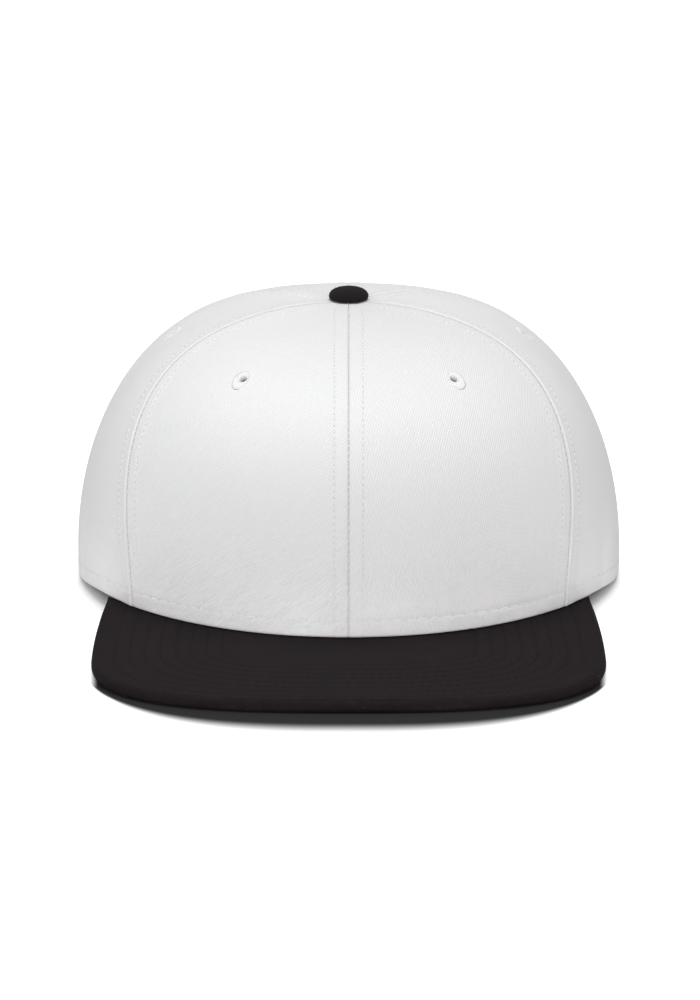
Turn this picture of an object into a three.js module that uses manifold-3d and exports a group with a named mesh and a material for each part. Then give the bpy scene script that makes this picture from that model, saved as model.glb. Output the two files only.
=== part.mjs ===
// A six-panel snapback cap: sewn crown, flat peak, covered button, sewn eyelets, sweatband and snap strap.
// Millimetres, +Z up, the peak points to -Y. Azimuths run from the front (0) round by +X to the rear.
// Shapes are first worked out about the upright line through the crown's apex, and the whole cap is
// moved at the end, so that the middle of its footprint is the origin.
import * as THREE from 'three';
import { mergeVertices } from 'three/addons/utils/BufferGeometryUtils.js';
import Module from 'manifold-3d';

const wasm = await Module();
wasm.setup();

const degree = Math.PI / 180;

// Fit between pieces; the wider one is for sheets whose facets bulge towards each other
const clearance = 0.3;
const sheetClearance = 0.5;

// Crown
const crownFrontReach = 96.9;
const crownSideReach = 94.2;
const crownRearReach = 95.8;
const crownHeight = 98.5;
const crownWall = 1.6;
const sideRimHeight = 0.4;
const apexDimpleDepth = 1.2;
const apexDimpleReach = 16;

// Crown outline in three upright sections, all as shares: how late the wall turns in, how square that
// turn is, and how far the wall leans in over its height
const crownSections = {
  front: { lateness: 5.1, squareness: 3.1, lean: 0 },
  side: { lateness: 1.6, squareness: 3.06, lean: -0.12 },
  rear: { lateness: 2.75, squareness: 2.4, lean: 0.015 },
};

// Seams between the panels: their azimuths at the rim and at the apex
const frontSideSeam = { atRim: 50.4 * degree, atApex: 57.7 * degree, sweep: 1.8 };
const sideRearSeam = { atRim: 116 * degree, atApex: 119 * degree, sweep: 1.8 };

// Peak
const visorWidth = 171;
const visorLength = 69.5;
const visorThickness = 4.4;
const visorEdgeRound = 1.9;
const visorWidestAhead = 15;
const visorFrontSquareness = 2.8;
const visorTailAzimuth = 60.5 * degree;

// Button
const buttonDiameter = 13.7;
const buttonHeight = 4;
const buttonEdgeHeight = 1.1;
const buttonStemDiameter = 4;
const buttonBackDiameter = 17;
const buttonBackThickness = 1.2;

// Eyelets
const eyeletDiameter = 7;
const eyeletHoleDiameter = 2.7;
const eyeletSleeveWall = 0.7;
const eyeletRise = 0.75;
const eyeletBackDiameter = 5.6;
const eyeletBackThickness = 0.5;
const eyeletDrop = 12.5;

// Sweatband and seam tapes
const sweatbandFoot = 0.5;
const sweatbandHeight = 31;
const sweatbandThickness = 1.2;
const tapeWidth = 12;
const tapeThickness = 1;
const tapeTuck = 12;

// Rear arch and snap strap
const archWidth = 76;
const archHeight = 46;
const archStraightHeight = 21;
const strapFoot = 2;
const strapHeight = 18;
const strapThickness = 1.4;
const strapTuck = 8;
const strapCornerRadius = 6;
const strapStepMargin = 2;
const pegPitch = 7.5;
const pegDiameter = 3.8;
const pegHeadDiameter = 5.2;
const pegHeadHeight = 0.7;
const pegEndMargin = 5;
const pegsEngaged = 5;
const pegsMost = 7;

// How finely the curved sheets are divided
const panelColumns = 9;
const panelRows = 16;
const bandColumns = 54;
const visorStations = 48;
const eyeletSides = 12;
const buttonSides = 20;
const pegSides = 12;

// Materials
const whiteTwill = new THREE.MeshStandardMaterial({ color: 0xe8e8e9, roughness: 0.9, metalness: 0 });
const blackTwill = new THREE.MeshStandardMaterial({ color: 0x262324, roughness: 0.85, metalness: 0 });
const whiteThread = new THREE.MeshStandardMaterial({ color: 0xe4e4e6, roughness: 0.7, metalness: 0 });
const whiteTape = new THREE.MeshStandardMaterial({ color: 0xdededf, roughness: 0.9, metalness: 0 });
const blackPlastic = new THREE.MeshStandardMaterial({ color: 0x1b1a1b, roughness: 0.45, metalness: 0 });

// Sizes that follow from the ones above
const frontRimHeight = visorThickness + clearance;
const stemRadius = buttonStemDiameter / 2;
const apexHoleRadius = stemRadius + clearance;
const eyeletHeight = crownHeight - eyeletDrop;
const archHalf = archWidth / 2;
const archHalfAngle = Math.asin(archHalf / crownRearReach);

const mix = (from, to, share) => from + (to - from) * share;
const limit = (value) => Math.min(1, Math.max(0, value));
const ease = (value) => limit(value) ** 2 * (3 - 2 * limit(value));

// Plan outline of the crown's rim: half an ellipse ahead of the apex and half behind it
function planReach(azimuth) {
  const lengthwise = Math.cos(azimuth) > 0 ? crownFrontReach : crownRearReach;
  return 1 / Math.hypot(Math.sin(azimuth) / crownSideReach, Math.cos(azimuth) / lengthwise);
}

// Outward direction of that outline, level with the floor
function planNormal(azimuth) {
  const lengthwise = Math.cos(azimuth) > 0 ? crownFrontReach : crownRearReach;
  const x = Math.sin(azimuth) / crownSideReach ** 2;
  const y = -Math.cos(azimuth) / lengthwise ** 2;
  return new THREE.Vector3(x, y, 0).normalize();
}

// The rim lies on the peak at the front, then comes down to the floor towards the corners of the rear arch
function rimHeight(azimuth) {
  const turn = Math.abs(azimuth);
  const toSide = ease((turn - visorTailAzimuth) / (Math.PI / 2 - visorTailAzimuth));
  const toRear = ease((turn - Math.PI / 2) / (Math.PI / 2 - archHalfAngle));
  return mix(mix(frontRimHeight, sideRimHeight, toSide), 0, toRear);
}

// The upright section at an azimuth, between the three that the table gives
function sectionAt(azimuth) {
  const end = Math.cos(azimuth) > 0 ? crownSections.front : crownSections.rear;
  const side = Math.sin(azimuth) ** 2;
  return {
    lateness: mix(end.lateness, crownSections.side.lateness, side),
    squareness: mix(end.squareness, crownSections.side.squareness, side),
    lean: mix(end.lean, crownSections.side.lean, side),
  };
}

// Distance of the crown's outer surface from the apex line, at a share of the height above the rim
function crownRadius(azimuth, share) {
  const { lateness, squareness, lean } = sectionAt(azimuth);
  const turned = Math.max(0, 1 - share ** lateness) ** (1 / squareness);
  return planReach(azimuth) * turned * (1 - lean * share);
}

// A point of the crown at an azimuth and a share of its height, moved inwards by inset
function crownPoint(azimuth, share, inset = 0) {
  const { lateness, squareness, lean } = sectionAt(azimuth);
  const rim = rimHeight(azimuth);
  const radius = crownRadius(azimuth, share);
  const dimple = apexDimpleDepth * Math.exp(-((radius / apexDimpleReach) ** 2));
  const point = new THREE.Vector3(radius * Math.sin(azimuth), -radius * Math.cos(azimuth), 0);
  point.z = mix(rim, crownHeight, share) - dimple;
  if (inset > 0) {
    const left = 1 - share ** lateness;
    const turned = left ** (1 / squareness);
    const turnRate = -(lateness / squareness) * share ** (lateness - 1) * left ** (1 / squareness - 1);
    const radiusRate = planReach(azimuth) * (turnRate * (1 - lean * share) - lean * turned);
    const heightRate = crownHeight - rim;
    const length = Math.hypot(radiusRate, heightRate);
    point.addScaledVector(planNormal(azimuth), (-inset * heightRate) / length);
    point.z += (inset * radiusRate) / length;
    point.z = Math.max(point.z, rim);
  }
  return point;
}

// The outward direction of the crown at a place, square to it
function crownNormal(azimuth, share) {
  return crownPoint(azimuth, share).sub(crownPoint(azimuth, share, 1)).normalize();
}

// The share of the height at which the crown has a given radius, on its top half
function shareAtRadius(azimuth, radius) {
  let low = 0.5;
  let high = 1;
  for (let step = 0; step < 50; step += 1) {
    const middle = (low + high) / 2;
    if (crownRadius(azimuth, middle) > radius) low = middle;
    else high = middle;
  }
  return low;
}

const shareAtHeight = (azimuth, height) =>
  limit((height - rimHeight(azimuth)) / (crownHeight - rimHeight(azimuth)));

// Rows up the crown, closer together where its section bends
function crownRowShares() {
  const fineSteps = 400;
  const bendWeight = 35;
  const azimuth = frontSideSeam.atRim;
  const { lateness } = sectionAt(azimuth);
  const shares = [];
  const travelled = [];
  let before = crownPoint(azimuth, 0);
  let heading = Math.PI / 2;
  let total = 0;
  for (let step = 0; step <= fineSteps; step += 1) {
    const share = Math.sin((step / fineSteps) * (Math.PI / 2)) ** (2 / lateness);
    const point = crownPoint(azimuth, Math.min(share, 1));
    const rise = point.z - before.z;
    const run = Math.hypot(before.x, before.y) - Math.hypot(point.x, point.y);
    const newHeading = step > 0 ? Math.atan2(rise, run) : heading;
    total += Math.hypot(rise, run) + bendWeight * Math.abs(newHeading - heading);
    shares.push(Math.min(share, 1));
    travelled.push(total);
    before = point;
    heading = newHeading;
  }
  return Array.from({ length: panelRows }, (_, row) => {
    const goal = travelled[0] + ((total - travelled[0]) * row) / panelRows;
    return shares[travelled.findIndex((distance) => distance >= goal)];
  });
}

const rowShares = crownRowShares();
const seamAzimuth = (seam, share) => mix(seam.atRim, seam.atApex, share ** seam.sweep);

// Geometry from vertices and faces with up to four corners, counter-clockwise seen from outside
function solidGeometry(points, faces) {
  const geometry = new THREE.BufferGeometry();
  const index = [];
  for (const [first, ...rest] of faces) {
    for (let corner = 1; corner < rest.length; corner += 1) {
      index.push(first, rest[corner - 1], rest[corner]);
    }
  }
  const places = points.flatMap((point) => [point.x, point.y, point.z]);
  geometry.setAttribute('position', new THREE.Float32BufferAttribute(places, 3));
  geometry.setIndex(index);
  return geometry;
}

// A closed wall between two grids of points, rows going up and columns going round by +X
function wallGeometry(outer, inner) {
  const rows = outer.length - 1;
  const columns = outer[0].length - 1;
  const points = [...outer.flat(), ...inner.flat()];
  const out = (row, column) => row * (columns + 1) + column;
  const back = (row, column) => outer.flat().length + out(row, column);
  const faces = [];
  for (let row = 0; row < rows; row += 1) {
    const above = row + 1;
    for (let column = 0; column < columns; column += 1) {
      faces.push([out(row, column), out(row, column + 1), out(above, column + 1), out(above, column)]);
      faces.push([back(row, column), back(above, column), back(above, column + 1), back(row, column + 1)]);
    }
    faces.push([out(row, 0), out(row + 1, 0), back(row + 1, 0), back(row, 0)]);
    faces.push([out(row, columns), back(row, columns), back(row + 1, columns), out(row + 1, columns)]);
  }
  for (let column = 0; column < columns; column += 1) {
    faces.push([out(0, column), back(0, column), back(0, column + 1), out(0, column + 1)]);
    faces.push([out(rows, column), out(rows, column + 1), back(rows, column + 1), back(rows, column)]);
  }
  return solidGeometry(points, faces);
}

// A closed solid through rings of points, each ring closed and all alike, with flat ends
function sweptGeometry(rings) {
  const size = rings[0].length;
  const at = (ring, corner) => ring * size + (corner % size);
  const faces = [];
  for (let ring = 0; ring < rings.length - 1; ring += 1) {
    for (let corner = 0; corner < size; corner += 1) {
      faces.push([at(ring, corner), at(ring, corner + 1), at(ring + 1, corner + 1), at(ring + 1, corner)]);
    }
  }
  const corners = Array.from({ length: size }, (_, corner) => corner);
  faces.push(corners.map((corner) => at(0, size - 1 - corner)));
  faces.push(corners.map((corner) => at(rings.length - 1, corner)));
  return solidGeometry(rings.flat(), faces);
}

// Between the geometry and the solid that cuts and joins work on
function toSolid(geometry) {
  const plain = geometry.clone();
  plain.deleteAttribute('normal');
  plain.deleteAttribute('uv');
  const merged = mergeVertices(plain, 1e-4);
  return new wasm.Manifold(
    new wasm.Mesh({
      numProp: 3,
      vertProperties: new Float32Array(merged.attributes.position.array),
      triVerts: new Uint32Array(merged.index.array),
    }),
  );
}

function toGeometry(solid) {
  const mesh = solid.getMesh();
  const geometry = new THREE.BufferGeometry();
  geometry.setAttribute('position', new THREE.Float32BufferAttribute(mesh.vertProperties, 3));
  geometry.setIndex(Array.from(mesh.triVerts));
  return geometry;
}

// One crown panel between two seams, half a clearance short of each
function panelGeometry(seamBefore, seamAfter) {
  const outer = [];
  const inner = [];
  for (let row = 0; row <= panelRows; row += 1) {
    const rowShare = row < panelRows ? rowShares[row] : 1;
    const from = seamBefore(rowShare);
    const to = seamAfter(rowShare);
    const radius = row < panelRows ? crownRadius((from + to) / 2, rowShare) : apexHoleRadius;
    const half = clearance / 2 / radius;
    const outerRow = [];
    const innerRow = [];
    for (let column = 0; column <= panelColumns; column += 1) {
      const azimuth = mix(from + half, to - half, column / panelColumns);
      const share = row < panelRows ? rowShare : shareAtRadius(azimuth, apexHoleRadius);
      outerRow.push(crownPoint(azimuth, share));
      innerRow.push(crownPoint(azimuth, share, crownWall));
    }
    outer.push(outerRow);
    inner.push(innerRow);
  }
  return wallGeometry(outer, inner);
}

// A place on the crown where an eyelet sits, in the middle of a panel
function eyeletPlace(seamBefore, seamAfter) {
  const high = shareAtHeight(Math.PI / 2, eyeletHeight);
  const azimuth = (seamBefore(high) + seamAfter(high)) / 2;
  const share = shareAtHeight(azimuth, eyeletHeight);
  const turn = new THREE.Quaternion();
  turn.setFromUnitVectors(new THREE.Vector3(0, 1, 0), crownNormal(azimuth, share));
  return { position: crownPoint(azimuth, share), turn };
}

// A sewn eyelet: a sleeve through the cloth with a rounded ring outside and a flat one inside, about +Y
function eyeletGeometry() {
  const bore = eyeletHoleDiameter / 2;
  const sleeve = bore + eyeletSleeveWall;
  const back = -crownWall - sheetClearance;
  const profile = [
    new THREE.Vector2(bore, back - eyeletBackThickness),
    new THREE.Vector2(eyeletBackDiameter / 2, back - eyeletBackThickness),
    new THREE.Vector2(eyeletBackDiameter / 2, back),
    new THREE.Vector2(sleeve, back),
    new THREE.Vector2(sleeve, clearance),
    new THREE.Vector2(eyeletDiameter / 2, clearance),
  ];
  const roundSteps = 4;
  for (let step = 1; step <= roundSteps; step += 1) {
    const angle = (step / roundSteps) * Math.PI;
    const middle = (eyeletDiameter / 2 + bore) / 2;
    const half = (eyeletDiameter / 2 - bore) / 2;
    const rise = clearance + eyeletRise * Math.sin(angle);
    profile.push(new THREE.Vector2(middle + half * Math.cos(angle), rise));
  }
  profile.push(profile[0].clone());
  return new THREE.LatheGeometry(profile, eyeletSides);
}

// The hole that an eyelet's sleeve passes through
function eyeletHoleGeometry() {
  const radius = eyeletHoleDiameter / 2 + eyeletSleeveWall + clearance;
  const depth = 6 * crownWall;
  return new THREE.CylinderGeometry(radius, radius, depth, eyeletSides);
}

function placed(geometry, { position, turn }) {
  return geometry.clone().applyQuaternion(turn).translate(position.x, position.y, position.z);
}

// The rear arch: straight sides with a round top, cut through the rear wall
function archGeometry() {
  const below = -10;
  const arch = new THREE.Shape();
  arch.moveTo(-archHalf, below);
  arch.lineTo(archHalf, below);
  arch.lineTo(archHalf, archStraightHeight);
  arch.absellipse(0, archStraightHeight, archHalf, archHeight - archStraightHeight, 0, Math.PI, false, 0);
  arch.lineTo(-archHalf, below);
  const cut = { depth: crownRearReach, bevelEnabled: false, curveSegments: 20 };
  const geometry = new THREE.ExtrudeGeometry(arch, cut);
  return geometry.rotateX(Math.PI / 2).translate(0, 1.5 * crownRearReach, 0);
}

// Outer edge of the peak, from its tail on one side round the front to its tail on the other
function visorOutline(share) {
  const side = share < 0.5 ? -1 : 1;
  const along = Math.abs(2 * share - 1);
  const frontShare = 0.62;
  const tailReach = planReach(visorTailAzimuth);
  const widestY = crownFrontReach + visorWidestAhead;
  if (along <= frontShare) {
    const angle = (along / frontShare) * (Math.PI / 2);
    const x = (visorWidth / 2) * Math.sin(angle) ** (2 / visorFrontSquareness);
    const ahead = (visorLength - visorWidestAhead) * Math.cos(angle) ** (2 / visorFrontSquareness);
    return new THREE.Vector2(side * x, -(widestY + ahead));
  }
  const back = (along - frontShare) / (1 - frontShare);
  const tailX = tailReach * Math.sin(visorTailAzimuth);
  const tailY = -tailReach * Math.cos(visorTailAzimuth);
  return new THREE.Vector2(side * mix(visorWidth / 2, tailX, back ** 2), mix(-widestY, tailY, back));
}

// The flat peak: its inner edge lies under the crown's front wall, its outer edge is rounded
function visorGeometry() {
  const roundSteps = 4;
  const rings = [];
  for (let station = 0; station <= visorStations; station += 1) {
    const share = station / visorStations;
    const azimuth = mix(-visorTailAzimuth, visorTailAzimuth, share);
    const rim = crownPoint(azimuth, 0);
    const inset = planNormal(azimuth).multiplyScalar(crownWall);
    const inner = new THREE.Vector2(rim.x - inset.x, rim.y - inset.y);
    const outer = visorOutline(share);
    const across = outer.clone().sub(inner);
    const width = across.length();
    across.normalize();
    const round = Math.min(visorEdgeRound, 0.45 * width);
    const lift = Math.min(visorEdgeRound, 0.45 * visorThickness);
    const place = (distance, height) =>
      new THREE.Vector3(inner.x + across.x * distance, inner.y + across.y * distance, height);
    const ring = [place(0, 0), place(0, visorThickness)];
    for (let step = 0; step <= roundSteps; step += 1) {
      const angle = (step / roundSteps) * (Math.PI / 2);
      const distance = width - round * (1 - Math.sin(angle));
      ring.push(place(distance, visorThickness - lift * (1 - Math.cos(angle))));
    }
    for (let step = 0; step <= roundSteps; step += 1) {
      const angle = (step / roundSteps) * (Math.PI / 2);
      const distance = width - round * (1 - Math.cos(angle));
      ring.push(place(distance, lift * (1 - Math.sin(angle))));
    }
    rings.push(ring);
  }
  return sweptGeometry(rings);
}

// The covered button with its stem through the apex and its back disc under the panels, about +Y
function buttonGeometry() {
  const radius = buttonDiameter / 2;
  const seatAt = (reach) => crownPoint(0, shareAtRadius(0, reach)).z;
  const innerAt = (reach) => crownPoint(0, shareAtRadius(0, reach), crownWall).z;
  const seat = seatAt(radius) + clearance;
  const backTop = Math.min(innerAt(apexHoleRadius), innerAt(buttonBackDiameter / 2)) - clearance;
  const profile = [
    new THREE.Vector2(0, backTop - buttonBackThickness),
    new THREE.Vector2(buttonBackDiameter / 2, backTop - buttonBackThickness),
    new THREE.Vector2(buttonBackDiameter / 2, backTop),
    new THREE.Vector2(stemRadius, backTop),
    new THREE.Vector2(stemRadius, seat),
    new THREE.Vector2(radius - clearance, seat),
  ];
  const domeSteps = 7;
  for (let step = 0; step < domeSteps; step += 1) {
    const angle = (step / domeSteps) * (Math.PI / 2);
    const rise = buttonEdgeHeight + (buttonHeight - buttonEdgeHeight) * Math.sin(angle);
    profile.push(new THREE.Vector2(radius * Math.cos(angle) ** 0.8, seat + rise));
  }
  profile.push(new THREE.Vector2(0, seat + buttonHeight));
  return new THREE.LatheGeometry(profile, buttonSides).rotateX(Math.PI / 2);
}

// Arc lengths round the rear are measured from the rear centre line, positive towards +X
const rearAzimuth = (arc) => Math.PI - arc / crownRearReach;
const strapEnd = archHalf + strapTuck;
const strapFreeReach = ((pegsEngaged - 1) / 2) * pegPitch + pegEndMargin;

// A point beside the rear wall at a height, moved level with the floor towards the inside
function rearWallPoint(arc, height, inset) {
  const azimuth = rearAzimuth(arc);
  const point = crownPoint(azimuth, shareAtHeight(azimuth, height));
  point.addScaledVector(planNormal(azimuth), -inset);
  point.z = height;
  return point;
}

// The sweatband stands off the wall by a clearance at its foot, and by a seam tape more from where
// the tapes begin
function sweatbandGeometry() {
  const last = rearAzimuth(strapEnd + clearance);
  const tapeStart = sweatbandHeight - tapeTuck;
  const heights = [0, tapeStart, sweatbandHeight];
  const grid = (extra) =>
    heights.map((height) =>
      Array.from({ length: bandColumns + 1 }, (_, column) => {
        const azimuth = mix(-last, last, column / bandColumns);
        const share = shareAtHeight(azimuth, sweatbandFoot + height);
        const lean = limit(height / tapeStart) * (tapeThickness + sheetClearance);
        const wall = crownPoint(azimuth, share);
        wall.addScaledVector(planNormal(azimuth), -(crownWall + clearance + lean + extra));
        wall.z = sweatbandFoot + height;
        return wall;
      }),
    );
  return wallGeometry(grid(0), grid(sweatbandThickness));
}

// Where the seam tapes stop short of each other, round the apex
const narrowestSector = Math.min(frontSideSeam.atApex, sideRearSeam.atApex - frontSideSeam.atApex);
const tapeEndRadius = Math.max(
  (tapeWidth / 2 + clearance) / (narrowestSector / 2),
  buttonBackDiameter / 2 + clearance,
);

// A seam tape: a strip on the inside of the panels, centred on a seam
function tapeGeometry(seam, footHeight) {
  const foot = shareAtHeight(seam(0), footHeight);
  const last = shareAtRadius(seam(1), tapeEndRadius);
  const shares = [...rowShares.filter((share) => share > foot && share < last), last];
  const columns = 2;
  const grid = (inset) =>
    shares.map((share) =>
      Array.from({ length: columns + 1 }, (_, column) => {
        const centre = seam(share);
        const half = tapeWidth / 2 / crownRadius(centre, share);
        return crownPoint(centre + mix(-half, half, column / columns), share, inset);
      }),
    );
  const outerInset = crownWall + sheetClearance;
  return wallGeometry(grid(outerInset), grid(outerInset + tapeThickness));
}

// One half of the snap strap, from behind the panel on the side of +X to past the rear centre line
function strapGeometry(outerInset) {
  const freeEnd = -strapFreeReach;
  const corner = Math.min(strapCornerRadius, 0.45 * strapHeight);
  const cornerSteps = 5;
  const arcs = [];
  for (let step = 0; step <= cornerSteps; step += 1) {
    arcs.push(freeEnd + corner * (1 - Math.cos((step / cornerSteps) * (Math.PI / 2))));
  }
  const straightSteps = 14;
  for (let step = 1; step <= straightSteps; step += 1) {
    arcs.push(mix(freeEnd + corner, strapEnd, step / straightSteps));
  }
  arcs.reverse();
  const grid = (extra) =>
    [0, 1].map((side) =>
      arcs.map((arc) => {
        const near = limit((freeEnd + corner - arc) / corner);
        const trim = corner * (1 - Math.sqrt(Math.max(0, 1 - near ** 2)));
        const height = side === 0 ? strapFoot + trim : strapFoot + strapHeight - trim;
        return rearWallPoint(arc, height, outerInset(arc) + extra);
      }),
    );
  return wallGeometry(grid(0), grid(strapThickness));
}

// Places of the pegs along the strap, those that clear the side of the arch
const pegArc = (peg) => (peg - (pegsEngaged - 1) / 2) * pegPitch;
const clearsArch = (arc) => arc + pegHeadDiameter / 2 + clearance < archHalf;
const pegArcs = Array.from({ length: pegsMost }, (_, peg) => pegArc(peg)).filter(clearsArch);

// A round pin square to the strap, between two insets from the crown's outer face
function pinGeometry(arc, diameter, fromInset, toInset) {
  const centre = rearWallPoint(arc, strapFoot + strapHeight / 2, (fromInset + toInset) / 2);
  const turn = new THREE.Quaternion();
  turn.setFromUnitVectors(new THREE.Vector3(0, 1, 0), planNormal(rearAzimuth(arc)));
  const length = Math.abs(toInset - fromInset);
  const pin = new THREE.CylinderGeometry(diameter / 2, diameter / 2, length, pegSides);
  return placed(pin, { position: centre, turn });
}

const tuckedInset = crownWall + clearance;
const raisedInset = tuckedInset - strapThickness - clearance;

// The strap with pegs lies behind; its pegs pass through the other strap's holes and end in heads
function pegStrapGeometry() {
  let strap = toSolid(strapGeometry(() => tuckedInset));
  const sunk = strapThickness / 2;
  const headSeat = raisedInset - clearance;
  const headTop = headSeat - pegHeadHeight;
  for (const arc of pegArcs) {
    const shank = pinGeometry(arc, pegDiameter, tuckedInset + sunk, (headSeat + headTop) / 2);
    const head = pinGeometry(arc, pegHeadDiameter, headSeat, headTop);
    strap = strap.add(toSolid(shank)).add(toSolid(head));
  }
  return toGeometry(strap);
}

// The strap with holes starts behind its panel, then steps out over the other strap
function holeStrapGeometry() {
  const stepOut = (arc) => {
    const clearOfPanel = archHalf - 2 * clearance;
    const clearOfPegStrap = strapFreeReach + strapStepMargin;
    return mix(raisedInset, tuckedInset, ease((arc - clearOfPegStrap) / (clearOfPanel - clearOfPegStrap)));
  };
  let strap = toSolid(strapGeometry(stepOut));
  for (const arc of pegArcs) {
    const reach = 3 * strapThickness;
    const hole = pinGeometry(arc, pegDiameter + 2 * clearance, tuckedInset + reach, raisedInset - reach);
    strap = strap.subtract(toSolid(hole));
  }
  return toGeometry(strap).scale(-1, 1, 1);
}

// A mirrored geometry keeps its faces pointing out when each face's corners change places
function turnedFaces(geometry) {
  const index = geometry.index.array;
  for (let face = 0; face < index.length; face += 3) {
    [index[face + 1], index[face + 2]] = [index[face + 2], index[face + 1]];
  }
  return geometry;
}

function addMesh(group, name, geometry, material) {
  const mesh = new THREE.Mesh(geometry, material);
  mesh.name = name;
  group.add(mesh);
  return mesh;
}

const seams = {
  centre: () => 0,
  frontSide: (share) => seamAzimuth(frontSideSeam, share),
  sideRear: (share) => seamAzimuth(sideRearSeam, share),
  rear: () => Math.PI,
};
const mirrored = (seam) => (share) => -seam(share);

const panelNames = [
  { name: 'front', before: seams.centre, after: seams.frontSide },
  { name: 'side', before: seams.frontSide, after: seams.sideRear },
  { name: 'rear', before: seams.sideRear, after: seams.rear },
];

// The crown: six panels, each with an eyelet hole, the rear two cut by the arch
function crown() {
  const group = new THREE.Group();
  const arch = toSolid(archGeometry());
  for (const { name, before, after } of panelNames) {
    for (const side of ['left', 'right']) {
      const from = side === 'right' ? before : mirrored(after);
      const to = side === 'right' ? after : mirrored(before);
      const place = eyeletPlace(from, to);
      let panel = toSolid(panelGeometry(from, to));
      panel = panel.subtract(toSolid(placed(eyeletHoleGeometry(), place)));
      if (name === 'rear') panel = panel.subtract(arch);
      addMesh(group, `${name}_panel_${side}`, toGeometry(panel), whiteTwill);
      const eyelet = addMesh(group, `eyelet_${name}_${side}`, eyeletGeometry(), whiteThread);
      eyelet.position.copy(place.position);
      eyelet.quaternion.copy(place.turn);
    }
  }
  return group;
}

// Inside the crown: the sweatband and the tapes over the seams
function insides() {
  const group = new THREE.Group();
  const tapeFoot = sweatbandFoot + sweatbandHeight - tapeTuck;
  addMesh(group, 'sweatband', sweatbandGeometry(), whiteTape);
  addMesh(group, 'seam_tape_front', tapeGeometry(seams.centre, tapeFoot), whiteTape);
  addMesh(group, 'seam_tape_rear', tapeGeometry(seams.rear, archHeight + tapeThickness), whiteTape);
  for (const side of ['left', 'right']) {
    const sided = (seam) => (side === 'right' ? seam : mirrored(seam));
    addMesh(group, `seam_tape_front_${side}`, tapeGeometry(sided(seams.frontSide), tapeFoot), whiteTape);
    addMesh(group, `seam_tape_rear_${side}`, tapeGeometry(sided(seams.sideRear), tapeFoot), whiteTape);
  }
  return group;
}

// The two halves of the snap strap across the rear arch
function snapStrap() {
  const group = new THREE.Group();
  addMesh(group, 'snap_strap_right', pegStrapGeometry(), blackPlastic);
  addMesh(group, 'snap_strap_left', turnedFaces(holeStrapGeometry()), blackPlastic);
  return group;
}

const cap = new THREE.Group();
cap.add(crown(), insides(), snapStrap());
addMesh(cap, 'visor', visorGeometry(), blackTwill);
addMesh(cap, 'button', buttonGeometry(), blackTwill);

// The origin is the middle of the footprint, on the floor
const box = new THREE.Box3().setFromObject(cap);
const middle = box.getCenter(new THREE.Vector3());
cap.position.set(-middle.x, -middle.y, -box.min.z);

export default cap;
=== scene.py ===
"""A six-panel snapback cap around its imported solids: sewn twill crown, flat peak, band and snap strap.

Forms are worked out in millimetres about the upright line through the crown's apex and become metres in the
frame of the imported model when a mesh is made. Azimuths run from the front (0) round by +X to the rear.
"""

import logging
import math
from dataclasses import dataclass, field, replace
from enum import Enum
from functools import cache, cached_property
from typing import Iterable, Sequence

import bmesh
import bpy
import numpy as np
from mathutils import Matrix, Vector, noise


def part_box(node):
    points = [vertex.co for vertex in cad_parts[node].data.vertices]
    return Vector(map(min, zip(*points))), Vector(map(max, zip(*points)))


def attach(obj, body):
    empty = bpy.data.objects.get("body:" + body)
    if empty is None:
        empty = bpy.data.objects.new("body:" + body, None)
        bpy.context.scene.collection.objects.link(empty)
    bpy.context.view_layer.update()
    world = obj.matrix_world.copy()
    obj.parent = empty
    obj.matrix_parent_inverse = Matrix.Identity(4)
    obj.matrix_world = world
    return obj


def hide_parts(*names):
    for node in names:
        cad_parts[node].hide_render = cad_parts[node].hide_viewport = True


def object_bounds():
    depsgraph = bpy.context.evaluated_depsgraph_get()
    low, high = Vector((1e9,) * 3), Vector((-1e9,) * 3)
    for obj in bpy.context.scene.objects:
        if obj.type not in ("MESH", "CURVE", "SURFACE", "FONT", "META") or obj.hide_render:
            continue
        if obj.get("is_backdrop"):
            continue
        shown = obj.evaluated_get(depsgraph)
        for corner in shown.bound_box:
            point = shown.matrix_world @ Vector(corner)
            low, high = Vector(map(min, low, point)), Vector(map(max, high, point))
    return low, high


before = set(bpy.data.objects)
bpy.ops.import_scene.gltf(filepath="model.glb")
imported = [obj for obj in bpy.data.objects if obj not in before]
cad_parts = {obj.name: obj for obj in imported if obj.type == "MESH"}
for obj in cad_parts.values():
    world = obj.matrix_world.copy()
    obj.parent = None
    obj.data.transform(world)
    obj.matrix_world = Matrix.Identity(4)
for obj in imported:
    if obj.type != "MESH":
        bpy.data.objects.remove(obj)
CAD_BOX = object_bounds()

Array = np.ndarray
LOG = logging.getLogger("snapback_cap")
MM = 0.001
CLOTH_MAP = "cloth"
# Point attribute that holds the painted shade of creases and stitch grooves.
CREASE_SHADE = "crease"
SHARP_ANGLE = math.radians(50.0)


class Side(Enum):
    """The two sides of the cap, as the front is seen."""

    LEFT = -1
    RIGHT = 1

    @property
    def word(self) -> str:
        """The side's name in piece names."""
        return self.name.lower()


class Slot(Enum):
    """The record's material slots."""

    CROWN = "crown_twill"
    PEAK = "peak_twill"
    BUTTON = "button_twill"
    EYELET = "eyelet_thread"
    TAPE = "inner_tape"
    SWEATBAND = "sweatband_cotton"
    STRAP = "strap_plastic"


def mix(start: Array, end: Array, share: Array) -> Array:
    """A value between two others."""
    return start + (end - start) * share


def smooth_step(value: Array) -> Array:
    """Zero below 0, one above 1, and smooth between."""
    held = np.clip(value, 0.0, 1.0)
    return held**2 * (3.0 - 2.0 * held)


def bell(distance: Array, width: Array) -> Array:
    """One at distance 0, falling off smoothly over a width."""
    return np.exp(-((distance / width) ** 2))


def unit(vectors: Array) -> Array:
    """Vectors of length one."""
    return vectors / np.maximum(np.linalg.norm(vectors, axis=-1, keepdims=True), 1e-12)


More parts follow.
